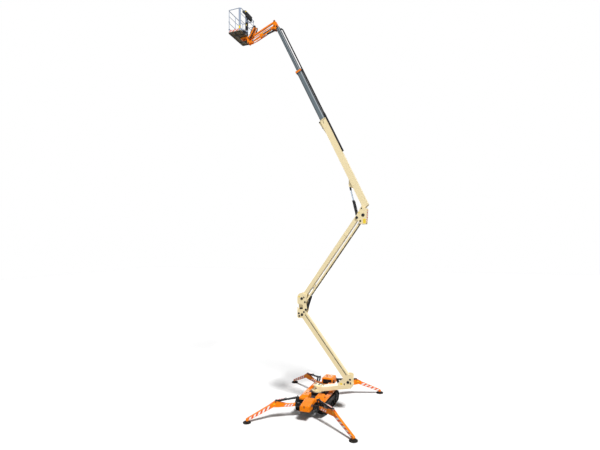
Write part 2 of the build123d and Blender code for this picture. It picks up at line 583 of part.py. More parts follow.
# --- boom base section with its pivot cheeks, cylinder lug and roller bracket ---
base_low = BOOM_AXIS_OFFSET - BASE_DEPTH / 2
base_high = BOOM_AXIS_OFFSET + BASE_DEPTH / 2
inner = BASE_HALF_WIDTH - BASE_WALL
with BuildPart() as boom_base:
    slab(boom, [(BASE_START, base_high), BASE_HEEL, (BASE_TOE, base_low), (BASE_END, base_low),
                (BASE_END, base_high)], BASE_HALF_WIDTH)
    box_between(boom, BASE_HEEL[0] - 10, BASE_END - MOUTH_LENGTH, base_low + BASE_WALL,
                base_high - BASE_WALL, inner, Mode.SUBTRACT)
    mouth_half = SECTION2_DEPTH / 2 + GAP
    box_between(boom, BASE_END - MOUTH_LENGTH - 10, BASE_END + 10, BOOM_AXIS_OFFSET - mouth_half,
                BOOM_AXIS_OFFSET + mouth_half, SECTION2_HALF_WIDTH + GAP, Mode.SUBTRACT)
    cheek = [(0, 0, 80), (BASE_TOE + 50, base_low + 62, 80), (BASE_TOE + 270, base_high - 84, 80)]
    plate_pair(boom, cheek, inner - 26, BASE_HALF_WIDTH - 5)
    hull_plate(boom, [(0, 0, BOOM_PIN_RADIUS + GAP)], BASE_HALF_WIDTH, Mode.SUBTRACT)
    lug_x, lug_y = BOOM_LUG
    plate_pair(boom, [(lug_x, lug_y, 42), (lug_x - 180, base_low + 4, 4), (lug_x + 280, base_low + 4, 4)],
               LUG_INNER + 2, LUG_INNER + 2 + LUG_PLATE)
    bracket = [(BASE_END - ROLLER_BRACKET, base_low + 4, 4), (BASE_END - 24, base_low + 4, 4)]
    hull_plate(boom, bracket + [(BASE_END - 59, base_low - 55, 34)], ROLLER_BRACKET_HALF_WIDTH)
finish(boom_base, "boom_base")

# --- telescopic sections ---
section2_start = SECTION2_END - SECTION_LENGTH
section3_start = SECTION3_END - SECTION_LENGTH
carrier_low = base_high + CARRIER_CLEARANCE
with BuildPart() as boom_section_2:
    low, high = BOOM_AXIS_OFFSET - SECTION2_DEPTH / 2, BOOM_AXIS_OFFSET + SECTION2_DEPTH / 2
    box_between(boom, section2_start, SECTION2_END, low, high, SECTION2_HALF_WIDTH)
    pad_low, pad_high = base_low + BASE_WALL + GAP, base_high - BASE_WALL - GAP
    box_between(boom, section2_start, section2_start + SLIDE_PAD_LENGTH, pad_low, pad_high, inner - GAP)
    box_between(boom, SECTION2_END - COLLAR_LENGTH, SECTION2_END, low - COLLAR_RIM,
                carrier_low - CARRIER_CLEARANCE, SECTION2_HALF_WIDTH + COLLAR_RIM)
    inner2 = SECTION2_HALF_WIDTH - SECTION_WALL
    box_between(boom, section2_start - 10, SECTION2_END - COLLAR_LENGTH, low + SECTION_WALL,
                high - SECTION_WALL, inner2, Mode.SUBTRACT)
    half = SECTION3_DEPTH / 2 + GAP
    box_between(boom, SECTION2_END - COLLAR_LENGTH - 10, SECTION2_END + 10, BOOM_AXIS_OFFSET - half,
                BOOM_AXIS_OFFSET + half, SECTION3_HALF_WIDTH + GAP, Mode.SUBTRACT)
finish(boom_section_2, "boom_section_2")

with BuildPart() as boom_section_3:
    half = SECTION3_DEPTH / 2
    box_between(boom, section3_start, SECTION3_END, BOOM_AXIS_OFFSET - half, BOOM_AXIS_OFFSET + half,
                SECTION3_HALF_WIDTH)
    box_between(boom, section3_start, section3_start + SLIDE_PAD_LENGTH, low + SECTION_WALL + GAP,
                high - SECTION_WALL - GAP, inner2 - GAP)
    bore_half = half - SECTION_WALL
    box_between(boom, section3_start - 10, SECTION3_END - 150, BOOM_AXIS_OFFSET - bore_half,
                BOOM_AXIS_OFFSET + bore_half, SECTION3_HALF_WIDTH - SECTION_WALL, Mode.SUBTRACT)
    tip = (SECTION3_END + TIP_REACH, BOOM_AXIS_OFFSET)
    with BuildSketch(boom) as lug:
        with Locations(tip):
            Circle(TIP_LUG_RADIUS)
        with Locations((SECTION3_END - 20, BOOM_AXIS_OFFSET)):
            Rectangle(40, SECTION3_DEPTH - 20)
        make_hull()
    extrude(lug.sketch, amount=SECTION3_HALF_WIDTH, both=True)
    hull_plate(boom, [(*tip, PIN_RADIUS + GAP)], SECTION3_HALF_WIDTH, Mode.SUBTRACT)
finish(boom_section_3, "boom_section_3")

# --- cable carrier on the third section, and the tray on the base section that it runs into ---
carrier_high = carrier_low + CARRIER_HEIGHT
section3_top = BOOM_AXIS_OFFSET + SECTION3_DEPTH / 2
with BuildPart() as cable_carrier:
    carrier_end = SECTION3_END - CARRIER_TOP_GAP
    straight_end = carrier_end - CARRIER_BEND
    side_view = [(carrier_end - CARRIER_LENGTH, carrier_low), (carrier_end - CARRIER_FOOT, carrier_low)]
    side_view += [(carrier_end - CARRIER_FOOT, section3_top), (carrier_end, section3_top)]
    side_view += [(carrier_end - 20, carrier_low), (straight_end, carrier_high)]
    slab(boom, side_view + [(carrier_end - CARRIER_LENGTH, carrier_high)], CARRIER_WIDTH / 2)
finish(cable_carrier, "cable_carrier")

tray_half = CARRIER_WIDTH / 2 + CARRIER_CLEARANCE
tray_roof = carrier_high + CARRIER_CLEARANCE
with BuildPart() as carrier_tray:
    tray_end = BASE_END + TRAY_OVERHANG
    tray_start = tray_end - TRAY_LENGTH
    box_between(boom, tray_start, tray_end, base_high, tray_roof + TRAY_WALL, tray_half + TRAY_WALL)
    box_between(boom, tray_start - 10, tray_end + 10, base_high - 5, tray_roof, tray_half, Mode.SUBTRACT)
    slot_pitch = 220
    slots = int(TRAY_LENGTH // slot_pitch)
    for i in range(slots):
        centre = tray_start + (i + 0.5) * TRAY_LENGTH / slots
        box_between(boom, centre - 60, centre + 60, tray_roof - 5, tray_roof + TRAY_WALL + 5, 26,
                    Mode.SUBTRACT)
finish(carrier_tray, "carrier_tray")

# --- boom head bracket ---
head_inner = JIB_HALF_WIDTH + 6
head_outer = head_inner + HEAD_PLATE
with BuildPart() as boom_head:
    outline = [(*tip_pivot, 58), (*jib_link_foot, 48), (*jib_foot, 58)]
    outline += [(*JIB_CYLINDER_BASE, 36)]
    hull_plate(Plane.XZ, outline, head_outer)
    x, z = jib_foot
    slab(Plane.XZ, [(x - 500, z - 500), (x + 500, z - 500), (x + 500, z + 500), (x - 500, z + 500)],
         head_inner, Mode.SUBTRACT)
    hull_plate(Plane.XZ, [(*jib_foot, JIB_PIN_RADIUS)], head_outer)
    hull_plate(Plane.XZ, [(*jib_foot, 3 * JIB_PIN_RADIUS)], JIB_HALF_WIDTH - JIB_PLATE - 7, Mode.SUBTRACT)
    for point, radius in ((tip_pivot, PIN_RADIUS), (jib_link_foot, JIB_PIN_RADIUS),
                          (JIB_CYLINDER_BASE, JIB_PIN_RADIUS)):
        hull_plate(Plane.XZ, [(*point, radius)], head_outer)
finish(boom_head, "boom_head")

# --- jib: slotted side plates below, single link above ---
jib_bore = JIB_PIN_RADIUS + GAP
lug_x = JIB_LUG[0]
with BuildPart() as jib_beam:
    hull_plate(jib, [(0, 0, JIB_END_RADIUS), (JIB_LENGTH, 0, JIB_END_RADIUS), (450, 0, JIB_DEPTH / 2),
                     (JIB_LENGTH - 450, 0, JIB_DEPTH / 2)], JIB_HALF_WIDTH)
    box_between(jib, -200, JIB_LENGTH + 200, -200, 200, JIB_HALF_WIDTH - JIB_PLATE, Mode.SUBTRACT)
    for slot_from, slot_to in ((190, lug_x - 120), (lug_x + 150, JIB_LENGTH - 210)):
        hull_plate(jib, [(slot_from, 0, JIB_SLOT_RADIUS), (slot_to, 0, JIB_SLOT_RADIUS)], JIB_HALF_WIDTH,
                   Mode.SUBTRACT)
    for x in (lug_x + 100, JIB_LENGTH - 150):
        hull_plate(jib, [(x, -55, 15)], JIB_HALF_WIDTH)
    for x in (0, JIB_LENGTH):
        hull_plate(jib, [(x, 0, jib_bore)], JIB_HALF_WIDTH, Mode.SUBTRACT)
finish(jib_beam, "jib_beam")

with BuildPart() as jib_link:
    half = JIB_LINK_DEPTH / 2
    hull_plate(jib_upper, [(0, 0, half), (JIB_LENGTH, 0, half)], JIB_LINK_HALF_WIDTH)
    for x in (0, JIB_LENGTH):
        hull_plate(jib_upper, [(x, 0, jib_bore)], JIB_LINK_HALF_WIDTH, Mode.SUBTRACT)
finish(jib_link, "jib_link")

# --- platform support: jib end cheeks, curved hose arms and the channel under the floor ---
floor_bottom = floor_top - FLOOR_THICK
support_top = floor_bottom - 10
x, z = jib_head
support_low = floor_bottom - 90
arm = [(x + 5, z + 250, 45), (x + 70, z + 315, 47), (x + 150, z + 430, 52), (x + 250, z + 590, 46)]
arm += [(x + 345, z + 750, 28)]
with BuildPart() as platform_support:
    hull_plate(Plane.XZ, [(x, z, 50), arm[0], (x - 60, z + 250, 30)], head_outer)
    for i in range(len(arm) - 1):
        hull_plate(Plane.XZ, arm[i:i + 2], head_outer)
    slab(Plane.XZ, [(x - 500, z - 500), (x + 500, z - 500), (x + 500, z + 1000), (x - 500, z + 1000)],
         head_inner, Mode.SUBTRACT)
    box_between(Plane.XZ, swivel_x - 260, x - 30, support_low, support_top, head_outer)
    box_between(Plane.XZ, swivel_x - 200, x - 120, support_low - 5, support_top - 15, head_outer - 15,
                Mode.SUBTRACT)
    box_between(Plane.XZ, x - 60, x + 100, z - 30, z + 400, head_inner, Mode.SUBTRACT)
    for point in (jib_head, jib_link_head):
        hull_plate(Plane.XZ, [(*point, JIB_PIN_RADIUS)], head_outer)
finish(platform_support, "platform_support")

rotator_top = support_top + ROTATOR_HEIGHT
with BuildPart() as rotator:
    with BuildSketch(Plane.XY.offset(support_top)):
        with Locations((swivel_x, 0)):
            Circle(ROTATOR_RADIUS)
    extrude(amount=ROTATOR_HEIGHT)
    fillet(rotator.faces().sort_by(Axis.Z)[-1].edges(), radius=14)
finish(rotator, "rotator")

# --- basket: floor, tube frame with rounded rail loops, controls and gate ---
basket_mid = (basket_left + basket_right) / 2
with BuildPart() as basket_floor:
    with BuildSketch(Plane.XY.offset(floor_bottom)):
        with Locations((basket_mid, 0)):
            RectangleRounded(BASKET_DEPTH, BASKET_LENGTH, 60)
        with Locations((swivel_x, 0)):
            Circle(ROTATOR_RADIUS + 15, mode=Mode.SUBTRACT)
        with Locations((swivel_x + 100, 0)):
            Rectangle(200, 2 * ROTATOR_RADIUS + 30, mode=Mode.SUBTRACT)
    extrude(amount=FLOOR_THICK)
finish(basket_floor, "basket_floor")

rail_x = BASKET_DEPTH / 2 - RAIL_RADIUS
rail_y = BASKET_LENGTH / 2 - RAIL_RADIUS
corner_inset = RAIL_CORNER * (1 - cos(radians(45)))
post_x = rail_x - corner_inset
post_y = rail_y - corner_inset
rail_top = floor_top + BASKET_HEIGHT - RAIL_RADIUS
gate_top = floor_top + RAIL_LEVELS[0]
gate_z = (gate_top - GATE_HEIGHT, gate_top)
gate_x = basket_mid - rail_x
gate_post_y = GATE_HINGE_Y + GATE_LENGTH + RAIL_RADIUS + 2 * GAP
with BuildSketch(Plane.XY.offset(rail_top)) as rail_plan:
    with Locations((basket_mid, 0)):
        RectangleRounded(2 * rail_x, 2 * rail_y, RAIL_CORNER)
with BuildPart() as basket_frame:
    with BuildSketch(Plane.XY.offset(floor_top)):
        with Locations((basket_mid, 0)):
            with GridLocations(2 * post_x, 2 * post_y, 2, 2):
                Circle(POST_RADIUS)
        with Locations((gate_x, gate_post_y)):
            Circle(POST_RADIUS)
        with Locations((basket_mid + rail_x - 60, 9 - rail_y)):
            Rectangle(FLAT_POST_WIDTH, FLAT_POST_DEPTH)
    extrude(amount=rail_top - floor_top)
    with BuildSketch(Plane.XY.offset(floor_top)):
        with Locations((basket_mid, 0)):
            Rectangle(2 * post_x + TOE_THICK, 2 * post_y + TOE_THICK)
            Rectangle(2 * post_x - TOE_THICK, 2 * post_y - TOE_THICK, mode=Mode.SUBTRACT)
        with Locations((basket_mid + post_x, 0)):
            Rectangle(60, 2 * ROTATOR_RADIUS + 30, mode=Mode.SUBTRACT)
    extrude(amount=TOE_BOARD)
    with BuildSketch(Plane.XY.offset(rotator_top + GAP)):
        with Locations((basket_mid + rail_x + 3 - PILLAR_LENGTH / 2, 0)):
            Rectangle(PILLAR_LENGTH, PILLAR_WIDTH)
    extrude(amount=rail_top - rotator_top - GAP)
    for z in (gate_z[0] - GATE_TAIL - GAP - 12, gate_z[1] + GATE_TAIL + GAP):
        with BuildSketch(Plane.XY.offset(z)):
            with Locations((gate_x + 12, (GATE_HINGE_Y - rail_y) / 2)):
                Rectangle(46, GATE_HINGE_Y + rail_y + 22)
        extrude(amount=12)
    loop = rail_plan.sketch.faces()[0].outer_wire()
    with BuildSketch(Plane(origin=loop @ 0, z_dir=loop % 0)) as tube:
        Circle(RAIL_RADIUS)
    sweep(tube.sketch, path=loop)
    left, right, far = basket_mid - rail_x, basket_mid + rail_x, rail_y
    for level, left_from in ((RAIL_LEVELS[0], gate_post_y), (RAIL_LEVELS[1], -post_y)):
        with BuildLine(Plane.XY.offset(floor_top + level)) as rail:
            FilletPolyline((left, left_from), (left, far), (right, far), (right, -post_y), radius=RAIL_CORNER)
        with BuildSketch(Plane(origin=(left, left_from, floor_top + level), z_dir=(0, 1, 0))) as tube:
            Circle(MID_RAIL_RADIUS)
        sweep(tube.sketch, path=rail.wires()[0])
finish(basket_frame, "basket_frame")

with BuildPart() as control_console:
    rail_surface = rail_top + RAIL_RADIUS + GAP
    outside = basket_right + GAP
    profile = [(basket_right - 160, rail_surface), (outside, rail_surface)]
    profile += [(outside, rail_surface - CONSOLE_DROP), (outside + 70, rail_surface - CONSOLE_DROP + 30)]
    profile += [(outside + 90, rail_surface - 20), (outside + 30, rail_surface + 45)]
    slab(Plane.XZ, profile + [(basket_right - 140, rail_surface + 95)], CONSOLE_LENGTH / 2)
finish(control_console, "control_console")

with BuildPart() as basket_gate:
    for z in gate_z:
        with Locations((gate_x, GATE_HINGE_Y + GATE_LENGTH / 2, z)):
            Cylinder(13, GATE_LENGTH, rotation=(90, 0, 0))
    with Locations((gate_x, GATE_HINGE_Y, sum(gate_z) / 2)):
        Cylinder(11, GATE_HEIGHT + 2 * GATE_TAIL)
    with Locations((gate_x, GATE_HINGE_Y + GATE_LENGTH - 14, sum(gate_z) / 2)):
        Cylinder(11, GATE_HEIGHT)
finish(basket_gate, "basket_gate")


def cylinder_parts(name, start, end, angle_plane, barrel_length, rod_length, barrel_radius, rod_radius,
                   eye_half, pin):
    """A hydraulic cylinder's barrel and rod, between two pins in an upright plane."""
    reach = hypot(end[0] - start[0], end[1] - start[1])
    axis = (angle_plane.x_dir * (end[0] - start[0]) + Vector(0, 0, 1) * (end[1] - start[1])) / reach
    origin = angle_plane.origin + angle_plane.x_dir * start[0] + Vector(0, 0, 1) * start[1]
    flat = Plane(origin=origin, x_dir=axis, z_dir=angle_plane.z_dir)
    along = Plane(origin=origin, x_dir=angle_plane.z_dir, z_dir=axis)
    with BuildPart() as barrel:
        hull_plate(flat, [(0, 0, pin + 18)], eye_half)
        with BuildSketch(along.offset(pin + 8)) as tube:
            Circle(barrel_radius)
        extrude(tube.sketch, amount=barrel_length - pin - 8)
        with BuildSketch(along.offset(pin + 35)) as hole:
            Circle(rod_radius + GAP)
        extrude(hole.sketch, amount=barrel_length, mode=Mode.SUBTRACT)
        hull_plate(flat, [(0, 0, pin + GAP)], barrel_radius + 5, Mode.SUBTRACT)
    finish(barrel, f"{name}_cylinder")
    with BuildPart() as rod:
        with BuildSketch(along.offset(reach - rod_length)) as stem:
            Circle(rod_radius)
        extrude(stem.sketch, amount=rod_length - 10)
        hull_plate(flat, [(reach, 0, rod_radius + 8)], eye_half)
    finish(rod, f"{name}_rod")


boom_plane = Plane(origin=(0, 0, 0), x_dir=(1, 0, 0), z_dir=(0, -1, 0))
# name, base pin, rod pin, barrel length, rod length, barrel radius, rod radius, eye half-width, base pin radius
for name, start, end, barrel_length, rod_length, barrel_radius, rod_radius, eye_half, pin in (
    ("riser", RISER_CYLINDER_BASE, RISER_CYLINDER_EYE, 640, 645, 57, 28, 36, RISER_CYLINDER_PIN_RADIUS),
    ("boom", riser2_head, BOOM_CYLINDER_EYE, 780, 1060, 55, 28, 38, PIN_RADIUS),
    ("jib", JIB_CYLINDER_BASE, JIB_CYLINDER_EYE, 440, 540, 38, 18, 30, JIB_PIN_RADIUS),
):
    cylinder_parts(name, start, end, boom_plane, barrel_length, rod_length, barrel_radius, rod_radius,
                   eye_half, pin)

# --- outriggers: yoke, leg, pad and cylinder at each corner ---
hinge_x, hinge_z = LEG_HINGE
base_x, base_z = LEG_CYLINDER_BASE
knee_x, knee_z = KNEE
eye_x, eye_z = LEG_EYE
yoke_inner = LEG_HALF_WIDTH + 6
yoke_outer = yoke_inner + YOKE_PLATE
for name, side_x, side_y in (("front_left", -1, -1), ("front_right", 1, -1),
                             ("rear_left", -1, 1), ("rear_right", 1, 1)):
    root = Vector(side_x * ROOT_X, CHASSIS_MID + side_y * ROOT_Y, 0)
    outward = Vector(side_x * cos(radians(LEG_ANGLE)), side_y * sin(radians(LEG_ANGLE)), 0)
    across = Vector(outward.Y, -outward.X, 0)
    leg_plane = Plane(origin=root, x_dir=outward, z_dir=across)

    with BuildPart() as yoke:
        cheek = [(hinge_x, hinge_z, 45), (base_x, base_z, 38), (hinge_x - 10, hinge_z - 75, 30)]
        hull_plate(leg_plane, cheek, yoke_outer)
        window = [(-200, hinge_z - 165), (78, hinge_z - 165), (78, hinge_z + 95)]
        slab(leg_plane, window + [(-60, hinge_z + 155), (-200, hinge_z + 155)], yoke_outer, Mode.SUBTRACT)
        slab(leg_plane, [(-300, 300), (400, 300), (400, 1000), (-300, 1000)], yoke_inner, Mode.SUBTRACT)
        for low_z in (boss_bottom - 25 - GAP, boss_top + GAP):
            with BuildSketch(Plane(origin=root + Vector(0, 0, low_z), x_dir=outward, z_dir=(0, 0, 1))) as ear:
                Circle(48)
                with Locations((40, 0)):
                    Rectangle(80, 2 * yoke_outer)
            extrude(ear.sketch, amount=25)
        with BuildSketch(Plane(origin=root + Vector(0, 0, boss_bottom - 25), z_dir=(0, 0, 1))) as post:
            Circle(SWIVEL_PIN_RADIUS)
        extrude(post.sketch, amount=boss_top - boss_bottom + 50)
        for point in (LEG_HINGE, LEG_CYLINDER_BASE):
            hull_plate(leg_plane, [(*point, LEG_PIN_RADIUS)], yoke_outer)
    finish(yoke, f"outrigger_yoke_{name}")

    bend = [(knee_x - 150, knee_z - 25, 62), (knee_x + 60, knee_z + 10, KNEE_RADIUS)]
    foot = (LEG_REACH, FOOT_HEIGHT, FOOT_RADIUS)
    with BuildPart() as leg:
        hull_plate(leg_plane, [(hinge_x, hinge_z, LEG_DEPTH / 2), bend[0]], LEG_HALF_WIDTH)
        hull_plate(leg_plane, bend, LEG_HALF_WIDTH)
        hull_plate(leg_plane, [bend[1], foot], LEG_HALF_WIDTH)
        gusset = [(eye_x, eye_z, 32), (hinge_x + 320, hinge_z + 30, 24), (knee_x + 160, knee_z - 10, 60)]
        plate_pair(leg_plane, gusset, LEG_HALF_WIDTH - GUSSET_PLATE, LEG_HALF_WIDTH)
        hull_plate(leg_plane, [(knee_x, knee_z, KNEE_HOLE_RADIUS)], LEG_HALF_WIDTH, Mode.SUBTRACT)
        hull_plate(leg_plane, [(hinge_x, hinge_z, LEG_PIN_RADIUS + GAP)], LEG_HALF_WIDTH, Mode.SUBTRACT)
    finish(leg, f"outrigger_leg_{name}")

    with BuildPart() as pad:
        neck_top = FOOT_HEIGHT - FOOT_RADIUS - GAP
        pad_plane = Plane(origin=root + outward * LEG_REACH, x_dir=outward, z_dir=across)
        with BuildSketch(pad_plane) as half_section:
            with BuildLine():
                Polyline((0, 0), (PAD_RADIUS, 0), (PAD_RADIUS, PAD_THICK - 12), (PAD_RADIUS - 14, PAD_THICK),
                         (PAD_NECK_RADIUS + 22, PAD_THICK + 8), (PAD_NECK_RADIUS, neck_top), (0, neck_top),
                         close=True)
            make_face()
        revolve(half_section.sketch, axis=Axis(pad_plane.origin, (0, 0, 1)))
    finish(pad, f"outrigger_pad_{name}")

    cylinder_parts(f"outrigger_{name}", LEG_CYLINDER_BASE, LEG_EYE, leg_plane, 500, 505, 35, 17, 34,
                   LEG_PIN_RADIUS)
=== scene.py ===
"""Looks for a tracked articulating boom lift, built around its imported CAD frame. Metres, +Z up."""
import json
import math

import bpy
import numpy as np
from mathutils import Matrix, Vector


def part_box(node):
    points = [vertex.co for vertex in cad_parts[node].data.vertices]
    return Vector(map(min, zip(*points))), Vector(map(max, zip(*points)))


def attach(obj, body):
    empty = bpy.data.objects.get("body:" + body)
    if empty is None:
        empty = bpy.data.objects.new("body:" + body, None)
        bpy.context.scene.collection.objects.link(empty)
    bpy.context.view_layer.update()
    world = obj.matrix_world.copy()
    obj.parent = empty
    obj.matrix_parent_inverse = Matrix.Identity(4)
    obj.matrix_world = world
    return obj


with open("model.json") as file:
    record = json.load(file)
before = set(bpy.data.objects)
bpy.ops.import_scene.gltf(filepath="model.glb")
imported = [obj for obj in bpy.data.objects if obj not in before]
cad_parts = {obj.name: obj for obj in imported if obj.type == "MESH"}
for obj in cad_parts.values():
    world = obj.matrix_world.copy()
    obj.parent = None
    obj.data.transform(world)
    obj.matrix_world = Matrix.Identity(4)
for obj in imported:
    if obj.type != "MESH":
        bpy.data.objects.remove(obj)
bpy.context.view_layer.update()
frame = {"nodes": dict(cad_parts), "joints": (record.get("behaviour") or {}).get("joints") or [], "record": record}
nodes = frame["nodes"]
joints = {joint["name"]: joint for joint in frame["joints"]}
CORNERS = ("front_left", "front_right", "rear_left", "rear_right")
HANDS = (-1, 1)

# ---------------------------------------------------------------- colours, as linear values
CREAM = (0.88, 0.745, 0.455)
ORANGE = (0.93, 0.235, 0.007)
STRIPE_RED = (0.80, 0.09, 0.018)
STRIPE_WHITE = (0.86, 0.86, 0.84)
GREY_BLUE = (0.185, 0.215, 0.24)
SECTION_FACE = (0.105, 0.138, 0.158)
# painted light and painted shade of the boom sections' sides
SECTION_PAINTED_LIGHT = (0.34, 0.38, 0.41)
SECTION_PAINTED_SHADE = (0.03, 0.036, 0.042)
BLACK_PAINT = (0.014, 0.014, 0.016)
SLATE = (0.024, 0.028, 0.034)
RUBBER = (0.007, 0.006, 0.006)
ALUMINIUM = (0.30, 0.36, 0.47)
CHROME = (0.26, 0.31, 0.37)
FLOOR_BROWN = (0.17, 0.135, 0.08)
PLASTIC = (0.012, 0.012, 0.014)
CAST = (0.05, 0.05, 0.052)
YELLOW = (0.86, 0.62, 0.02)
DUST = (0.33, 0.27, 0.19)
BARE_STEEL = (0.33, 0.32, 0.31)
SIGNAL_RED = (0.6, 0.012, 0.01)


# ---------------------------------------------------------------- shader groups
def new_group(name, inputs, outputs):
    """An empty shader node group with the named sockets; returns the tree, its inputs and its output node."""
    tree = bpy.data.node_groups.new(name, "ShaderNodeTree")
    for label, value in inputs.items():
        kind = "Vector" if value is None else "Color" if isinstance(value, tuple) else "Float"
        socket = tree.interface.new_socket(label, in_out="INPUT", socket_type=f"NodeSocket{kind}")
        if value is not None:
            socket.default_value = (*value, 1.0) if isinstance(value, tuple) else value
    for label in outputs:
        kind = "NodeSocketColor" if label == "Colour" else "NodeSocketFloat"
        tree.interface.new_socket(label, in_out="OUTPUT", socket_type=kind)
    return tree, tree.nodes.new("NodeGroupInput").outputs, tree.nodes.new("NodeGroupOutput")


def node(tree, kind, links=None, **settings):
    """A node of a tree with its settings made and its inputs linked or set, by name or number."""
    made = tree.nodes.new(kind)
    for key, value in settings.items():
        setattr(made, key, value)
    for key, value in (links or {}).items():
        if isinstance(value, bpy.types.NodeSocket):
            tree.links.new(value, made.inputs[key])
        else:
            made.inputs[key].default_value = value
    return made


def mix(tree, factor, first, second):
    """The colour mix of two colours or sockets."""
    first, second = ((*value, 1.0) if isinstance(value, tuple) else value for value in (first, second))
    return node(tree, "ShaderNodeMix", {0: factor, 6: first, 7: second}, data_type="RGBA").outputs[2]


def maths(tree, operation, first, second=0.0, clamp=False):
    """One arithmetic step."""
    return node(tree, "ShaderNodeMath", {0: first, 1: second}, operation=operation, use_clamp=clamp).outputs[0]


def ramp(tree, value, low, high, invert=False):
    """A straight ramp from 0 at low to 1 at high, kept within 0 and 1, or the other way round."""
    ends = {"To Min": 1.0, "To Max": 0.0} if invert else {"To Min": 0.0, "To Max": 1.0}
    made = node(tree, "ShaderNodeMapRange", {"Value": value, "From Min": low, "From Max": high, **ends})
    return made.outputs["Result"]


def noise(tree, place, scale, detail, roughness=0.5):
    """Fractal noise at a place."""
    settings = {"Vector": place, "Scale": scale, "Detail": detail, "Roughness": roughness}
    return node(tree, "ShaderNodeTexNoise", settings).outputs[0]


def make_surface_group():
    """Weathered surface: colour drift, scratches on edges, dust that gathers low down and on tops, and grain."""
    tree, given, out = new_group(
        "weathered_surface",
        {"Base": (0.5, 0.5, 0.5), "Bare": BARE_STEEL, "Dust Colour": DUST, "Roughness": 0.35, "Drift": 0.08,
         "Edge Wear": 0.5, "Edge Size": 0.006, "Dust": 0.4, "Dust Height": 0.7, "Grain Scale": 60.0},
        ("Colour", "Roughness", "Height"))
    spot = node(tree, "ShaderNodeTexCoord").outputs["Object"]
    broad = noise(tree, spot, 1.7, 5.0, 0.6)
    patches = noise(tree, spot, 14.0, 6.0, 0.65)
    grain = noise(tree, spot, given["Grain Scale"], 3.0)
    # streaks: noise drawn out along the height
    stretched = node(tree, "ShaderNodeMapping", {"Vector": spot, "Scale": (26.0, 26.0, 1.6)})
    streaks = noise(tree, stretched.outputs[0], 1.0, 4.0)
    # edges: where the rounded normal leaves the true one
    bevelled = node(tree, "ShaderNodeBevel", {"Radius": given["Edge Size"]}, samples=4)
    normal = node(tree, "ShaderNodeNewGeometry").outputs["Normal"]
    facing = node(tree, "ShaderNodeVectorMath", {0: bevelled.outputs[0], 1: normal}, operation="DOT_PRODUCT")
    edge = ramp(tree, facing.outputs["Value"], 0.995, 0.90)
    chipped = ramp(tree, maths(tree, "MULTIPLY", edge, patches), 0.40, 0.56)
    bare = maths(tree, "MULTIPLY", chipped, given["Edge Wear"], clamp=True)
    # dust: near the ground and on upward faces
    height, facing_up = (node(tree, "ShaderNodeSeparateXYZ", {0: value}).outputs["Z"] for value in (spot, normal))
    low = ramp(tree, height, 0.0, given["Dust Height"], invert=True)
    top = ramp(tree, facing_up, 0.5, 1.0)
    gathered = maths(tree, "ADD", low, maths(tree, "MULTIPLY", top, 0.35))
    ragged = maths(tree, "MULTIPLY", gathered, ramp(tree, patches, 0.32, 0.72))
    dusty = maths(tree, "MULTIPLY", ragged, given["Dust"], clamp=True)
    # colour: the base drifts lighter and darker, then wears and gathers dust
    wide = maths(tree, "MULTIPLY", maths(tree, "SUBTRACT", broad, 0.5), given["Drift"])
    tall = maths(tree, "MULTIPLY", maths(tree, "SUBTRACT", streaks, 0.5), maths(tree, "MULTIPLY", given["Drift"], 0.7))
    value = maths(tree, "ADD", 1.0, maths(tree, "MULTIPLY", maths(tree, "ADD", wide, tall), 2.0))
    shifted = node(tree, "ShaderNodeHueSaturation", {"Color": given["Base"], "Value": value})
    worn = mix(tree, bare, shifted.outputs[0], given["Bare"])
    tree.links.new(mix(tree, dusty, worn, given["Dust Colour"]), out.inputs["Colour"])
    uneven = maths(tree, "MULTIPLY", maths(tree, "SUBTRACT", patches, 0.5), 0.22)
    rough = maths(tree, "ADD", given["Roughness"], uneven)
    rough = maths(tree, "ADD", rough, maths(tree, "MULTIPLY", dusty, 0.5), clamp=True)
    tree.links.new(rough, out.inputs["Roughness"])
    fine = maths(tree, "ADD", maths(tree, "MULTIPLY", grain, 0.35), maths(tree, "MULTIPLY", patches, 0.25))
    tree.links.new(maths(tree, "SUBTRACT", fine, maths(tree, "MULTIPLY", bare, 0.5)), out.inputs["Height"])
    return tree


def make_stripe_group():
    """Slanted red and white stripes along a piece's own U direction."""
    tree, given, out = new_group("slanted_stripes", {"Count": 4.0, "Slant": 0.6}, ("Colour",))
    split = node(tree, "ShaderNodeSeparateXYZ", {0: node(tree, "ShaderNodeUVMap").outputs[0]})
    run = maths(tree, "MULTIPLY", split.outputs["X"], given["Count"])
    lean = maths(tree, "MULTIPLY", split.outputs["Y"], given["Slant"])
    mask = maths(tree, "LESS_THAN", maths(tree, "FRACT", maths(tree, "ADD", run, lean)), 0.5)
    tree.links.new(mix(tree, mask, STRIPE_RED, STRIPE_WHITE), out.inputs["Colour"])
    return tree


def make_section_shading_group():
    """Painted light and shade along a boom section's side by height, as a share of its half depth: painted shade as
    dark lines at both edges and in the groove, and painted light on the band above the groove."""
    tree, given, out = new_group(
        "section_painted_shading", {"Above": None, "Centre": 0.0, "Half Depth": 0.1, "Groove": 0.2}, ("Colour",))
    spot = node(tree, "ShaderNodeTexCoord").outputs["Object"]
    height = node(tree, "ShaderNodeVectorMath", {0: spot, 1: given["Above"]}, operation="DOT_PRODUCT").outputs["Value"]
    share = maths(tree, "DIVIDE", maths(tree, "SUBTRACT", height, given["Centre"]), given["Half Depth"])
    # painted shade at both edges and in the groove, painted light above the groove
    edge = ramp(tree, maths(tree, "ABSOLUTE", share), 0.68, 0.76)
    from_groove = maths(tree, "ABSOLUTE", maths(tree, "SUBTRACT", share, given["Groove"]))
    groove = ramp(tree, from_groove, 0.13, 0.20, invert=True)
    shade = mix(tree, ramp(tree, share, 0.34, 0.42), SECTION_FACE, SECTION_PAINTED_LIGHT)
    tree.links.new(mix(tree, maths(tree, "MAXIMUM", edge, groove), shade, SECTION_PAINTED_SHADE), out.inputs["Colour"])
    return tree


surface_group = make_surface_group()
stripe_group = make_stripe_group()
section_shading_group = make_section_shading_group()

# ---------------------------------------------------------------- materials
COAT_ROUGHNESS = 0.12
BUMP_SIZE = 0.0015


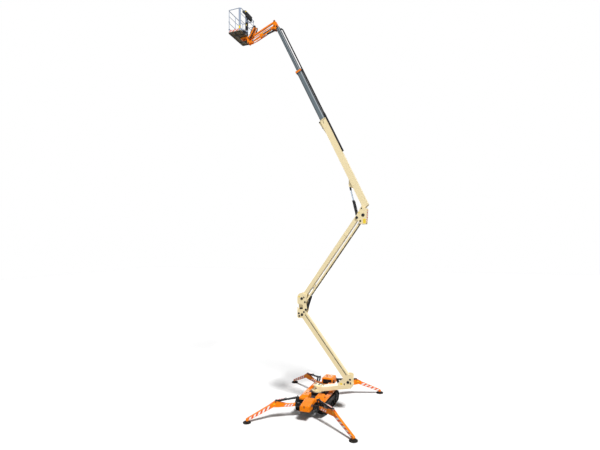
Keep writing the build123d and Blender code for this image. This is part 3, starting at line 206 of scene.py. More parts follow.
def finish_material(name, base, roughness, specular, metallic, bump, drift, wear, dust, *, coat=0.0, dust_height=0.7,
                    grain=60.0, stripes=None, lines=None):
    """A Principled material whose colour, roughness and bump come from the weathered surface group."""
    material = bpy.data.materials.new(name)
    material.use_nodes = True
    tree = material.node_tree
    shader = tree.nodes["Principled BSDF"]
    surface = node(tree, "ShaderNodeGroup", node_tree=surface_group)
    for label, value in {"Base": (*base, 1.0), "Roughness": roughness, "Drift": drift, "Edge Wear": wear, "Dust": dust,
                         "Dust Height": dust_height, "Grain Scale": grain}.items():
        surface.inputs[label].default_value = value
    for pattern_group, pattern in ((stripe_group, stripes), (section_shading_group, lines)):
        if pattern:
            colour = node(tree, "ShaderNodeGroup", dict(enumerate(pattern)), node_tree=pattern_group)
            tree.links.new(colour.outputs["Colour"], surface.inputs["Base"])
    tree.links.new(surface.outputs["Colour"], shader.inputs["Base Color"])
    tree.links.new(surface.outputs["Roughness"], shader.inputs["Roughness"])
    relief = node(tree, "ShaderNodeBump",
                  {"Strength": bump, "Distance": BUMP_SIZE, "Height": surface.outputs["Height"]})
    tree.links.new(relief.outputs[0], shader.inputs["Normal"])
    for label, value in {"Metallic": metallic, "Coat Weight": coat, "Coat Roughness": COAT_ROUGHNESS,
                         "Specular IOR Level": specular}.items():
        shader.inputs[label].default_value = value
    return material


# name: a slot name, then base, roughness, specular, metallic, bump, drift, edge wear, dust
FINISHES = {
    "cream_paint": ("cream_paint", CREAM, 0.40, 0.25, 0.0, 0.04, 0.02, 0.35, 0.03, {}),
    "orange_paint": ("orange_paint", ORANGE, 0.42, 0.12, 0.0, 0.15, 0.08, 0.5, 0.12, {"dust_height": 0.4}),
    "boom_paint": ("grey_blue_paint", GREY_BLUE, 0.42, 0.50, 0.25, 0.15, 0.14, 0.5, 0.10, {}),
    "black_paint": ("black_steel", BLACK_PAINT, 0.42, 0.14, 0.0, 0.15, 0.30, 0.4, 0.10, {"dust_height": 0.3}),
    "black_gloss": ("black_steel", BLACK_PAINT, 0.30, 0.16, 0.0, 0.15, 0.20, 0.3, 0.05, {}),
    "slate_deck": ("slate_deck", SLATE, 0.60, 0.15, 0.0, 0.15, 0.20, 0.4, 0.10, {}),
    "track_rubber": ("track_rubber", RUBBER, 0.78, 0.06, 0.0, 0.40, 0.08, 0.0, 0.02, {"dust_height": 0.5}),
    "pad_rubber": ("black_plastic", RUBBER, 0.60, 0.12, 0.0, 0.30, 0.08, 0.0, 0.06, {"dust_height": 0.1}),
    "rail_aluminium": ("rail_aluminium", ALUMINIUM, 0.42, 0.50, 0.35, 0.15, 0.10, 0.0, 0.0, {"grain": 160.0}),
    "chrome_rod": ("chrome_rod", CHROME, 0.28, 0.50, 1.0, 0.02, 0.02, 0.0, 0.0, {}),
    "floor_brown": ("floor_brown", FLOOR_BROWN, 0.62, 0.15, 0.0, 0.15, 0.25, 0.3, 0.20, {}),
    "black_plastic": ("black_plastic", PLASTIC, 0.50, 0.15, 0.0, 0.15, 0.15, 0.0, 0.10, {"grain": 260.0}),
    "cast_block": ("cast_block", CAST, 0.60, 0.50, 0.4, 0.50, 0.08, 0.2, 0.50, {}),
    "bare_steel": ("chrome_rod", BARE_STEEL, 0.40, 0.50, 0.9, 0.15, 0.08, 0.0, 0.20, {}),
    "yellow_plate": ("orange_paint", YELLOW, 0.40, 0.50, 0.0, 0.15, 0.08, 0.0, 0.10, {}),
    "signal_red": ("black_plastic", SIGNAL_RED, 0.30, 0.50, 0.0, 0.15, 0.08, 0.0, 0.0, {"coat": 0.5}),
    "stripes_outer": ("orange_paint", ORANGE, 0.40, 0.50, 0.0, 0.15, 0.08, 0.2, 0.10, {"stripes": (5.0, -0.6)}),
    "stripes_inner": ("orange_paint", ORANGE, 0.40, 0.50, 0.0, 0.15, 0.08, 0.2, 0.10, {"stripes": (3.0, -0.6)}),
    "toe_stripes_long": ("rail_aluminium", STRIPE_RED, 0.45, 0.50, 0.0, 0.15, 0.08, 0.2, 0.05,
                         {"stripes": (9.0, -0.9)}),
    "toe_stripes": ("rail_aluminium", STRIPE_RED, 0.45, 0.50, 0.0, 0.15, 0.08, 0.2, 0.05, {"stripes": (3.0, -0.9)}),
    "back_stripes": ("cream_paint", STRIPE_RED, 0.45, 0.50, 0.0, 0.15, 0.08, 0.2, 0.05, {"stripes": (5.0, -0.4)}),
    "white_paint": ("rail_aluminium", STRIPE_WHITE, 0.40, 0.50, 0.0, 0.15, 0.08, 0.0, 0.10, {}),
    "hose_rubber": ("black_plastic", RUBBER, 0.50, 0.20, 0.0, 0.15, 0.08, 0.0, 0.10, {"grain": 200.0}),
}
BOOM_MIDDLE = 0.261
boom_above = np.cross((0.0, 1.0, 0.0), joints["telescope"]["axis"])
boom_centre = float(np.dot(boom_above, joints["boom_lift"]["pos_m"])) + BOOM_MIDDLE
# each boom section's side gets painted light and painted shade by height
for section, half_depth, groove in (("boom_section_2", 0.125, 1.0), ("boom_section_3", 0.086, 0.14)):
    FINISHES[f"{section}_paint"] = ("grey_blue_paint", GREY_BLUE, 0.42, 0.50, 0.2, 0.15, 0.14, 0.5, 0.0,
                                    {"lines": (boom_above, boom_centre, half_depth, groove)})
paint = {name: finish_material(name, *row[1:-1], **row[-1]) for name, row in FINISHES.items()}


def finish_of(name, slot):
    """The finish of a CAD node, from its name where it differs from the rest of its slot."""
    if name.endswith("_cylinder"):
        return "black_gloss"
    if name.startswith("outrigger_pad"):
        return "pad_rubber"
    if f"{name}_paint" in FINISHES:
        return f"{name}_paint"
    return {"grey_blue_paint": "boom_paint", "black_steel": "black_paint"}.get(slot, slot)


for subpart in frame["record"]["subparts"]:
    surfaces = nodes[subpart["node"]].data.materials
    surfaces.clear()
    surfaces.append(paint[finish_of(subpart["node"], subpart["material_slot"])])


# ---------------------------------------------------------------- shapes, worked out as whole arrays
X, Y, Z = np.eye(3)


def unit(vector):
    """A vector divided by its length."""
    vector = np.asarray(vector, float)
    return vector / np.linalg.norm(vector)


class Axes:
    """A local frame: coordinates are along, above and across, and above is across x along."""

    def __init__(self, origin, along, across):
        self.origin = np.asarray(origin, float)
        self.along, self.across = unit(along), unit(across)
        self.above = np.cross(self.across, self.along)
        self.turn = np.array([self.along, self.above, self.across])

    def place(self, points):
        """World points: origin + a*along + b*above + c*across."""
        return self.origin + np.asarray(points, float) @ self.turn

    def heading(self, a, b):
        """The direction a*along + b*above."""
        return self.along * a + self.above * b

    def at(self, a, b, c):
        """The same directions from another origin given in local coordinates."""
        return Axes(self.place((a, b, c)), self.along, self.across)

    def face(self, a, b, half, hand):
        """The outer face on one hand, at half the piece's width from the middle plane."""
        return Axes(self.place((a, b, hand * half)), self.along, hand * self.across)

    def around(self, a):
        """Axes for rings about the along direction, at a distance along it."""
        return Axes(self.place((a, 0, 0)), self.across, self.along)

    def span(self, name):
        """Lowest and highest local coordinates of a CAD node's vertices."""
        mesh = nodes[name].data
        flat = np.empty(3 * len(mesh.vertices))
        mesh.vertices.foreach_get("co", flat)
        local = (flat.reshape(-1, 3) - self.origin) @ self.turn.T
        return local.min(axis=0), local.max(axis=0)


def circle_points(angle):
    """Cosine and sine of each angle as points."""
    return np.stack([np.cos(angle), np.sin(angle)], axis=-1)


def even_angles(steps):
    """Angles evenly round a full turn."""
    return np.linspace(0, 2 * np.pi, steps, endpoint=False)


def wrapped(circles, steps=48):
    """Outline round circles (x, y, radius): in each direction, the point of the circle that reaches furthest."""
    circles = np.asarray(circles, float)
    direction = circle_points(even_angles(steps))
    chosen = np.argmax(direction @ circles[:, :2].T + circles[:, 2], axis=1)
    return circles[chosen, :2] + circles[chosen, 2:] * direction


def slot_outline(half_a, half_b, radius, steps):
    """A slot's outline: two circles at either end of a line through the origin."""
    return wrapped([(half_a, half_b, radius), (-half_a, -half_b, radius)], steps)


def rounded(width, height, radius, steps=5):
    """Rounded rectangle: four corner circles wrapped by one outline."""
    x, y = width / 2 - radius, height / 2 - radius
    corners = np.array([(x, y), (-x, y), (-x, -y), (x, -y)])
    angle = np.linspace(0, np.pi / 2, steps)[None, :] + (np.arange(4) * np.pi / 2)[:, None]
    return (corners[:, None, :] + circle_points(angle) * radius).reshape(-1, 2)


def inset(outline, depth):
    """An outline moved inwards: each point goes against the mean of its two edges' normals."""
    edge = np.roll(outline, -1, axis=0) - np.roll(outline, 1, axis=0)
    normal = np.stack([edge[:, 1], -edge[:, 0]], axis=1)
    normal /= np.maximum(np.linalg.norm(normal, axis=1, keepdims=True), 1e-9)
    return outline - normal * depth


def curve(points, samples):
    """Catmull-Rom: each span is the cubic blend of its two ends and their neighbours."""
    points = np.asarray(points, float)
    padded = np.concatenate([2 * points[:1] - points[1:2], points, 2 * points[-1:] - points[-2:-1]])
    t = np.linspace(0, 1, samples, endpoint=False)[:, None]
    weights = np.concatenate([-t + 2 * t**2 - t**3, 2 - 5 * t**2 + 3 * t**3, t + 4 * t**2 - 3 * t**3, -t**2 + t**3],
                             axis=1) / 2
    spans = np.stack([padded[k:len(padded) - 3 + k] for k in range(4)], axis=1)
    return np.concatenate([np.einsum("sk,nkj->nsj", weights, spans).reshape(-1, 3), points[-1:]])


def spaced(loop, count):
    """Evenly spaced points and directions round a closed loop, by its running length."""
    path = np.concatenate([loop, loop[:1]])
    run = np.concatenate([[0], np.cumsum(np.linalg.norm(np.diff(path, axis=0), axis=1))])

    def at(length):
        """Points at running lengths, each coordinate read between its neighbours."""
        return np.stack([np.interp(length % run[-1], run, path[:, k]) for k in range(path.shape[1])], axis=1)

    want = np.linspace(0, run[-1], count, endpoint=False)
    step = run[-1] / count * 0.25
    way = at(want + step) - at(want - step)
    return at(want), way / np.linalg.norm(way, axis=1, keepdims=True)


def spun(angle):
    """Turns about Z by each angle, as rows for Form.copies."""
    cos, sin, none = np.cos(angle), np.sin(angle), 0 * angle
    return np.stack([np.column_stack([cos, sin, none]), np.column_stack([-sin, cos, none]),
                     np.tile(Z, (len(angle), 1))], axis=1)


HOSE_SIDES = 10


class Form:
    """Closed shells gathered into one piece."""

    def __init__(self):
        self.points, self.faces, self.uvs, self.total = [], [], [], 0

    def shell(self, rows, uv=None, looped=False):
        """A closed tube of rows (m, n, 3), its two ends filled or joined, its faces turned outwards by the sign of
        its volume."""
        m, n = rows.shape[:2]
        index = np.arange(m * n).reshape(m, n)
        here, there = (index, np.roll(index, -1, 0)) if looped else (index[:-1], index[1:])
        quads = np.stack([here, np.roll(here, -1, 1), np.roll(there, -1, 1), there], axis=2).reshape(-1, 4)
        points = rows.reshape(-1, 3)
        a, b, c, d = (points[quads[:, k]] - points.mean(axis=0) for k in range(4))
        volume = np.einsum("ij,ij->", np.cross(a, b), c) + np.einsum("ij,ij->", np.cross(a, c), d)
        ends = [] if looped else [index[0][::-1], index[-1]]
        if volume < 0:
            quads, ends = quads[:, ::-1], [end[::-1] for end in ends]
        self.faces += (quads + self.total).tolist() + [(end + self.total).tolist() for end in ends]
        self.points.append(points)
        self.uvs.append(np.zeros((len(points), 2)) if uv is None else uv.reshape(-1, 2))
        self.total += len(points)
        return self

    def hose(self, points, radius, up=(0.13, 0.97, 0.2), samples=10):
        """A round hose on a smooth curve: at each point its circle stands square to the curve's direction."""
        path = curve(points, samples)
        tangent = np.gradient(path, axis=0)
        tangent /= np.linalg.norm(tangent, axis=1, keepdims=True)
        side = np.cross(tangent, np.broadcast_to(np.asarray(up, float), tangent.shape))
        side /= np.linalg.norm(side, axis=1, keepdims=True)
        top = np.cross(side, tangent)
        spread = radius * circle_points(even_angles(HOSE_SIDES))[None]
        return self.shell(path[:, None] + spread[..., :1] * side[:, None] + spread[..., 1:] * top[:, None])

    def plate(self, axes, outline, low, high, bevel):
        """An outline raised from low to high across its plane, its edges bevelled by an inset at both faces."""
        levels = ((low, bevel), (low + bevel, 0.0), (high - bevel, 0.0), (high, bevel))
        rows = np.stack([np.column_stack([inset(outline, d), np.full(len(outline), z)]) for z, d in levels])
        width = outline.max(axis=0) - outline.min(axis=0)
        return self.shell(axes.place(rows), np.stack([(outline - outline.min(axis=0)) / width] * len(levels)))

    def panel(self, axes, width, height, radius, low, high, bevel, steps=5):
        """A plate with a rounded rectangle for its outline."""
        return self.plate(axes, rounded(width, height, radius, steps), low, high, bevel)

    def label(self, axes, width, height, radius=0.006, steps=5, high=0.0016):
        """A thin blank plate stuck on a surface."""
        return self.panel(axes, width, height, radius, -0.0005, high, 0.0005, steps)

    def strip(self, axes, start, end, width, lift=0.002):
        """A thin flat strip from one local point to another on a frame's plane."""
        start, end = np.asarray(start, float), np.asarray(end, float)
        length = np.linalg.norm(end - start)
        middle = Axes(axes.place((*(start + end) / 2, 0)), axes.heading(*unit(end - start)), axes.across)
        return self.panel(middle, length, width, min(width, length) * 0.3, -0.0005, lift, lift * 0.4, 3)

    def turned(self, axes, profile, steps=24, looped=False):
        """A profile of radius and height turned about the across axis; a looped profile makes an open ring."""
        profile = np.asarray(profile, float)
        round_axis = profile[:, :1, None] * circle_points(even_angles(steps))
        rows = np.concatenate([round_axis, np.repeat(profile[:, 1:, None], steps, axis=1)], axis=2)
        return self.shell(axes.place(rows), looped=looped)

    def band(self, axes, inner, outer, start, end):
        """An open ring with bevelled outer edges between two heights."""
        edge = min(0.003, (end - start) / 4)
        profile = [(inner, start), (outer - edge, start), (outer, start + edge), (outer, end - edge),
                   (outer - edge, end), (inner, end)]
        return self.turned(axes, profile, 28, looped=True)

    def block(self, axes, size, bevel):
        """A box about the frame's origin with rounded long edges and bevelled ends."""
        return self.panel(axes, size[0], size[1], bevel * 1.5, -size[2] / 2, size[2] / 2, bevel, 4)

    def bolt(self, axes, radius):
        """A hexagon bolt head on a thin washer, standing along the frame's across axis."""
        height = radius * 0.9
        self.turned(axes, [(radius * 1.45, 0), (radius * 1.45, height * 0.22)], 14)
        return self.turned(axes, [(radius, 0), (radius, height * 0.85), (radius * 0.86, height)], 6)

    def bolts(self, axes, count, circle, height, radius, start=0.0):
        """Bolts evenly round a circle about the frame's origin."""
        for x, y in circle * circle_points(even_angles(count) + start):
            self.bolt(axes.at(x, y, height), radius)

    def copies(self, form, places, turns=None):
        """Another form repeated: points @ turn + place for every copy at once."""
        base, uv = np.concatenate(form.points), np.concatenate(form.uvs)
        turns = np.tile(np.eye(3), (len(places), 1, 1)) if turns is None else turns
        moved = np.einsum("vi,nij->nvj", base, turns) + places[:, None]
        shift = self.total + np.arange(len(places)) * len(base)
        for face in form.faces:
            self.faces += (np.asarray(face)[None] + shift[:, None]).tolist()
        self.points.append(moved.reshape(-1, 3))
        self.uvs.append(np.tile(uv, (len(places), 1)))
        self.total += len(places) * len(base)
        return self

    def piece(self, name, body, finish, slot=None):
        """The finished object, riding on a body: smooth faces, with edges over 30 degrees kept crisp."""
        mesh = bpy.data.meshes.new(name)
        mesh.from_pydata(np.concatenate(self.points).tolist(), [], self.faces)
        corner = np.empty(len(mesh.loops), int)
        mesh.loops.foreach_get("vertex_index", corner)
        layer = mesh.uv_layers.new(name="plan")
        layer.data.foreach_set("uv", np.concatenate(self.uvs)[corner].ravel())
        mesh.polygons.foreach_set("use_smooth", [True] * len(mesh.polygons))
        mesh.set_sharp_from_angle(angle=math.radians(30))
        mesh.materials.append(paint[finish])
        made = bpy.data.objects.new(name, mesh)
        bpy.context.scene.collection.objects.link(made)
        slot = slot or FINISHES[finish][0]
        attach(made, body)


# ---------------------------------------------------------------- local frames from the joints
def pivot(name):
    """A joint's place."""
    return np.array(joints[name]["pos_m"], float)


def level(joint, shift=(0, 0, 0)):
    """Boom-plane axes at a joint or beside it, level with the ground."""
    return Axes(pivot(joint) + shift, X, -Y)


def flat(*point):
    """Axes lying level at a point: along is +X, above is +Y and across is +Z."""
    return Axes(point, X, Z)


def beside(point, hand, half):
    """The outer face of a boom-plane plate at a point, level with the ground, on one hand."""
    return Axes(np.asarray(point, float) + hand * half * Y, X, hand * Y)


def leg_axes(corner):
    """An outrigger's upright plane: along runs out from the swivel axis, above is up, from the ground."""
    swivel = pivot(f"{corner}_swivel") * (1, 1, 0)
    outward = unit(pivot(f"{corner}_lower") * (1, 1, 0) - swivel)
    return Axes(swivel, outward, np.cross(outward, Z))


riser_1 = Axes(pivot("riser_raise"), pivot("middle_knuckle_level") - pivot("riser_raise"), Y)
riser_2 = Axes(pivot("riser_2_raise"), pivot("top_knuckle_level") - pivot("riser_2_raise"), -Y)
riser_2_link = Axes(pivot("riser_2_link_swing"), riser_2.along, -Y)
boom = Axes(pivot("boom_lift"), joints["telescope"]["axis"], Y)
jib = Axes(pivot("jib_raise"), pivot("support_level") - pivot("jib_raise"), Y)
legs = {corner: leg_axes(corner) for corner in CORNERS}

# half widths over the outside of each piece's side plates
CHEEK, RISER_HALF, JIB_HALF, JIB_CHEEK, YOKE_HALF, LEG_HALF = 0.142, 0.110, 0.075, 0.096, 0.074, 0.052

# places in an outrigger's plane: out from the swivel axis, and height
LEG_HINGE, CYLINDER_FOOT, ROD_EYE = np.array([(0.14, 0.545), (0.03, 0.84), (0.99, 0.745)])
KNEE, FOOT = np.array([(1.10, 0.61), (2.169, 0.125)])
INNER_END = np.array((0.95, 0.578))

# height of the middle of the hoods' sloping faces
HOOD_FACE = 0.722

# ---------------------------------------------------------------- pin caps and plates
caps, plaques = {}, {}
riser_foot, middle_pin, top_pin = pivot("riser_raise"), pivot("middle_knuckle_level"), pivot("top_knuckle_level")
link_1_offset = pivot("riser_1_link_swing") - riser_foot
link_2_offset = pivot("riser_2_link_swing") - pivot("riser_2_raise")
tie_offset = pivot("jib_tie_swing") - pivot("jib_raise")
# body and half width: the joint, radius and bolts of each cap, and its shift from the joint where it has one
PINS = {
    ("turret", CHEEK): (("riser_raise", 0.062, 4), ("riser_1_link_swing", 0.042, 3)),
    ("middle_knuckle", CHEEK): (
        ("middle_knuckle_level", 0.062, 4), ("riser_2_raise", 0.062, 4), ("riser_2_link_swing", 0.042, 3),
        ("riser_cylinder_turn", 0.05, 3), ("middle_knuckle_level", 0.042, 3, link_1_offset),
        ("riser_2_raise", 0.034, 3, (0.10, 0, 0.06))),
    ("top_knuckle", CHEEK): (
        ("top_knuckle_level", 0.062, 4), ("top_knuckle_level", 0.042, 3, link_2_offset), ("boom_lift", 0.072, 5),
        ("top_knuckle_level", 0.030, 3, (0.215, 0, 0.395))),
    ("head_bracket", JIB_CHEEK): (
        ("head_bracket_level", 0.045, 3), ("jib_raise", 0.036, 3), ("jib_tie_swing", 0.034, 3),
        ("jib_cylinder_turn", 0.032, 3)),
    ("support", JIB_CHEEK): (("support_level", 0.036, 3), ("support_level", 0.034, 3, tie_offset)),
}


def cap(body, axes, half, radius, bolts=3):
    """Flanged pin caps on both sides of a pivot: a stepped disc, a domed centre and a ring of small bolts."""
    form = caps.setdefault(body, Form())
    for hand in HANDS:
        face = axes.face(0, 0, half, hand)
        form.turned(face, [(radius, -0.001), (radius, 0.006), (radius * 0.92, 0.009), (radius * 0.62, 0.010),
                           (radius * 0.58, 0.017), (radius * 0.5, 0.020)])
        form.bolts(face, bolts, radius * 0.77, 0.009, radius * 0.12, 0.4)


for (body, half), pins in PINS.items():
    for joint, radius, bolts, *shift in pins:
        cap(body, level(joint, *shift), half, radius, bolts)
for corner, leg in legs.items():
    cap(f"{corner}_yoke", leg.at(*LEG_HINGE, 0), YOKE_HALF, 0.032)
    cap(f"{corner}_yoke", leg.at(*CYLINDER_FOOT, 0), YOKE_HALF, 0.03)
    cap(f"{corner}_leg", leg.at(*ROD_EYE, 0), LEG_HALF, 0.028)
for body, form in caps.items():
    form.piece(f"pin_caps_{body}", body, "black_gloss")

# black discs on the middle knuckle's cheeks and black slots on the tower: painted shade for the dark inside of holes
# and long slots
painted_shade_holes, painted_shade_slots = Form(), Form()
for hand in HANDS:
    for shift in ((-0.150, 0, 0.055), (-0.130, 0, -0.065)):
        painted_shade_holes.turned(beside(middle_pin + shift, hand, CHEEK),
                    [(0.045, -0.001), (0.045, 0.004), (0.036, 0.005), (0.034, 0.001)], 28)
    for shift, half_length in (((0.105, 0, -0.03), 0.025), ((-0.16, 0, -0.10), 0.02)):
        outline = slot_outline(0, half_length, 0.024, 28)
        painted_shade_slots.plate(beside(riser_foot + shift, hand, CHEEK), outline, -0.001, 0.003, 0.001)
painted_shade_holes.piece("knuckle_painted_shade_holes", "middle_knuckle", "black_paint")
painted_shade_slots.piece("tower_painted_shade_slots", "turret", "black_paint")


def plaque(body, axes, width, height):
    """A blank yellow plate with rounded corners on a surface."""
    plaques.setdefault(body, Form()).label(axes, width, height, 0.008, 3)


for hand in HANDS:
    for body, point, width, height in (("middle_knuckle", pivot("riser_2_raise") + (-0.12, 0, 0.08), 0.07, 0.05),
                                       ("top_knuckle", top_pin + (0.335, 0, -0.16), 0.125, 0.20),
                                       ("top_knuckle", top_pin + (0.10, 0, 0.21), 0.05, 0.05),
                                       ("turret", riser_foot + (-0.30, 0, -0.10), 0.09, 0.07)):
        plaque(body, beside(point, hand, CHEEK), width, height)
    plaque("jib", jib.face(0.69, 0.062, JIB_HALF, hand), 0.06, 0.045)
for corner, leg in legs.items():
    for hand in HANDS:
        plaque(f"{corner}_leg", leg.face(1.05, 0.655, LEG_HALF, hand), 0.07, 0.04)
hood_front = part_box("hood_right")[0][1]
for hand in HANDS:
    plaque("chassis", Axes((hand * 0.26, hood_front + 0.065, HOOD_FACE), X, (0, -0.14, 0.13)), 0.12, 0.08)
for body, form in plaques.items():
    form.piece(f"plates_{body}", body, "yellow_plate")

# ---------------------------------------------------------------- outrigger legs
RIBS = 12
BARREL_RING = 0.0395
rib = Form().block(Axes((0.105, 0, 0.040), X, Y), (0.085, 0.012, 0.010), 0.002)
for corner, leg in legs.items():
    # bands between two shares of each beam's length, as deep as the beam there
    for tag, start, end, depths, shares in (("outer", KNEE, FOOT, (0.062, 0.036), (0.10, 0.96)),
                                            ("inner", LEG_HINGE, INNER_END, (0.040, 0.046), (0.13, 0.60))):
        beam = Axes(leg.place((*start, 0)), leg.heading(*(end - start)), leg.across)
        (a, b), (half_a, half_b) = np.linalg.norm(end - start) * np.array(shares), np.interp(shares, (0, 1), depths)
        bands = Form()
        for hand in HANDS:
            outline = np.array([(a, -half_a), (b, -half_b), (b, half_b), (a, half_a)])
            bands.plate(beam.face(0, 0, LEG_HALF, hand), outline, -0.0005, 0.0016, 0.0004)
        bands.piece(f"leg_bands_{tag}_{corner}", f"{corner}_leg", f"stripes_{tag}")
    # a guard over the rod that moves with it; along runs back from the eye, so above points down
    reach = leg.heading(*(ROD_EYE - CYLINDER_FOOT))
    rod = Axes(leg.place((0.985, 0.748, 0)), -reach, leg.across)
    guard = Form().block(rod.at(0.225, -0.050, 0), (0.49, 0.006, 0.098), 0.002)
    for side in (-0.0465, 0.0465):
        guard.block(rod.at(0.225, -0.012, side), (0.49, 0.074, 0.005), 0.0015)
    guard.piece(f"rod_guard_{corner}", f"{corner}_leg_cylinder_rod", "black_paint")
    lid = Axes(rod.place((0.21, -0.053, 0)), rod.along, -rod.above)
    Form().label(lid, 0.30, 0.05).piece(f"guard_stripes_{corner}", f"{corner}_leg_cylinder_rod", "stripes_inner")
    # pipes and rings on the cylinder, and the hoses that feed it
    barrel = Axes(leg.place((*CYLINDER_FOOT, 0)), reach, leg.across)
    pipes = Form()
    pipes.hose(barrel.place([(0.07, -0.030, 0.012), (0.10, -0.047, 0.014), (0.28, -0.045, 0.014),
                             (0.43, -0.045, 0.012), (0.455, -0.030, 0.008)]), 0.007)
    pipes.hose(barrel.place([(0.07, -0.030, -0.012), (0.12, -0.047, -0.012), (0.20, -0.045, -0.012),
                             (0.235, -0.030, -0.008)]), 0.007)
    for a, inner, start, end in ((0.10, 0.034, -0.012, 0.012), (0.46, 0.034, -0.012, 0.012), (0.486, 0.021, 0, 0.022)):
        pipes.band(barrel.around(a), inner, BARREL_RING, start, end)
    pipes.piece(f"leg_pipes_{corner}", f"{corner}_leg_cylinder_barrel", "black_gloss")
    supply = Form()
    for hand in HANDS:
        supply.hose(leg.place([(0.055, 0.81, hand * 0.079), (0.10, 0.75, hand * 0.085), (0.10, 0.68, hand * 0.085),
                               (0.135, 0.62, hand * 0.079)]), 0.008)
        supply.block(leg.at(0.05, 0.80, hand * 0.078), (0.04, 0.035, 0.012), 0.002)
    supply.piece(f"leg_hoses_{corner}", f"{corner}_yoke", "hose_rubber")
    # pad: raised ribs, rim and ball collar
    pad = leg.place((FOOT[0], 0, 0))
    ribs = Form().copies(rib, np.tile(pad, (RIBS, 1)), spun(even_angles(RIBS)))
    ribs.turned(flat(*pad), [(0.155, 0.026), (0.155, 0.038), (0.149, 0.041), (0.142, 0.038), (0.142, 0.026)], 40)
    ribs.turned(flat(*pad), [(0.050, 0.060), (0.056, 0.066), (0.056, 0.076), (0.050, 0.080)], 28)
    ribs.piece(f"pad_ribs_{corner}", f"{corner}_leg", "pad_rubber")

# ---------------------------------------------------------------- tracks
SPROCKET, FRONT_ROLLER, IDLER = np.array([(-0.96, 0.40, 0.205), (-0.60, 0.14, 0.11), (1.01, 0.245, 0.215)])
SHOES = 48
SHOE_OUTLINE = np.array([(-0.034, -0.003), (0.034, -0.003), (0.019, 0.021), (-0.019, 0.021)])
GUIDE_OUTLINE = np.array([(-0.016, 0.002), (-0.010, -0.030), (0.010, -0.030), (0.016, 0.002)])
for hand, side_name in ((-1, "left"), (1, "right")):
    low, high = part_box(f"track_{side_name}")
    middle = (low[0] + high[0]) / 2
    for tag, shrink, outline, half, finish in (
            ("shoes", 0.0, SHOE_OUTLINE, 0.120, "track_rubber"),
            ("guides", 0.045, GUIDE_OUTLINE, 0.022, "black_paint")):
        here, way = spaced(wrapped(np.array([SPROCKET, FRONT_ROLLER, IDLER]) - (0, 0, shrink), 720), SHOES)
        tangent = np.column_stack([np.zeros(SHOES), way])
        turns = np.stack([tangent, np.cross(tangent, X), np.tile(X, (SHOES, 1))], axis=1)
        lug = Form().plate(flat(0, 0, 0), outline, -half, half, 0.004)
        tread = Form().copies(lug, np.column_stack([np.full(SHOES, middle), here]), turns)
        tread.piece(f"track_{tag}_{side_name}", "chassis", finish, "track_rubber")
    hubs = Form()
    for y, z, _ in (SPROCKET, IDLER):
        face = Axes((middle + hand * 0.113, y, z), Y, hand * X)
        hubs.turned(face, [(0.060, -0.004), (0.060, 0.006), (0.052, 0.010), (0.030, 0.011), (0.024, 0.022),
                           (0.012, 0.024)], 28)
        hubs.bolts(face, 8, 0.043, 0.009, 0.0065)
    for y in np.linspace(-0.54, IDLER[0] - 0.19, 6):
        hubs.turned(Axes((middle + hand * 0.105, y, 0.1373), Y, hand * X),
                    [(0.050, -0.002), (0.050, 0.003), (0.030, 0.006), (0.026, 0.013), (0.016, 0.015)], 20)
    for y in (-0.35, 0.15, 0.65):
        cover = Axes((middle + hand * 0.045, y, 0.27), Y, hand * X)
        hubs.panel(cover, 0.30, 0.085, 0.02, -0.001, 0.005, 0.0015)
        for dy in (-0.13, 0.13):
            hubs.bolt(cover.at(dy, 0, 0.005), 0.008)
    hubs.piece(f"track_hubs_{side_name}", "chassis", "black_paint")

# ---------------------------------------------------------------- chassis: box, hoods, engine cover, deck
low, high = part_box("front_box")
box_mid = (low + high) / 2
dark, trim, silver = Form(), Form(), Form()
front = Axes((box_mid[0], low[1], box_mid[2]), X, -Y)
dark.panel(front.at(-0.02, 0.015, 0), 0.040, 0.090, 0.012, -0.004, 0.002, 0.001)
trim.panel(front.at(-0.02, 0.015, 0), 0.060, 0.112, 0.018, -0.006, 0.0012, 0.0008)
for dx in (-0.15, 0.13):
    for dz in (-0.09, 0.08):
        dark.bolt(front.at(dx, dz, -0.002), 0.008)
side_face = Axes((high[0], box_mid[1] - 0.06, box_mid[2] + 0.005), Y, X)
silver.panel(side_face, 0.17, 0.105, 0.022, -0.004, 0.003, 0.001)
dark.panel(side_face.at(0, 0, 0.0028), 0.145, 0.080, 0.016, 0, 0.0015, 0.0005)
for k in range(5):
    silver.block(side_face.at(-0.052 + 0.026 * k, 0, 0.006), (0.006, 0.070, 0.003), 0.001)
lid = flat(box_mid[0], box_mid[1], high[2] - 0.001)
for dx in (-0.17, 0.17):
    dark.strip(lid.at(dx, 0.02, 0), (0, -0.16), (0, 0.16), 0.004)
dark.strip(lid.at(0, -0.14, 0), (-0.17, 0), (0.17, 0), 0.004)
dark.piece("box_vents", "chassis", "black_paint")
trim.piece("box_slot_rim", "chassis", "orange_paint")
silver.piece("box_louvres", "chassis", "bare_steel")

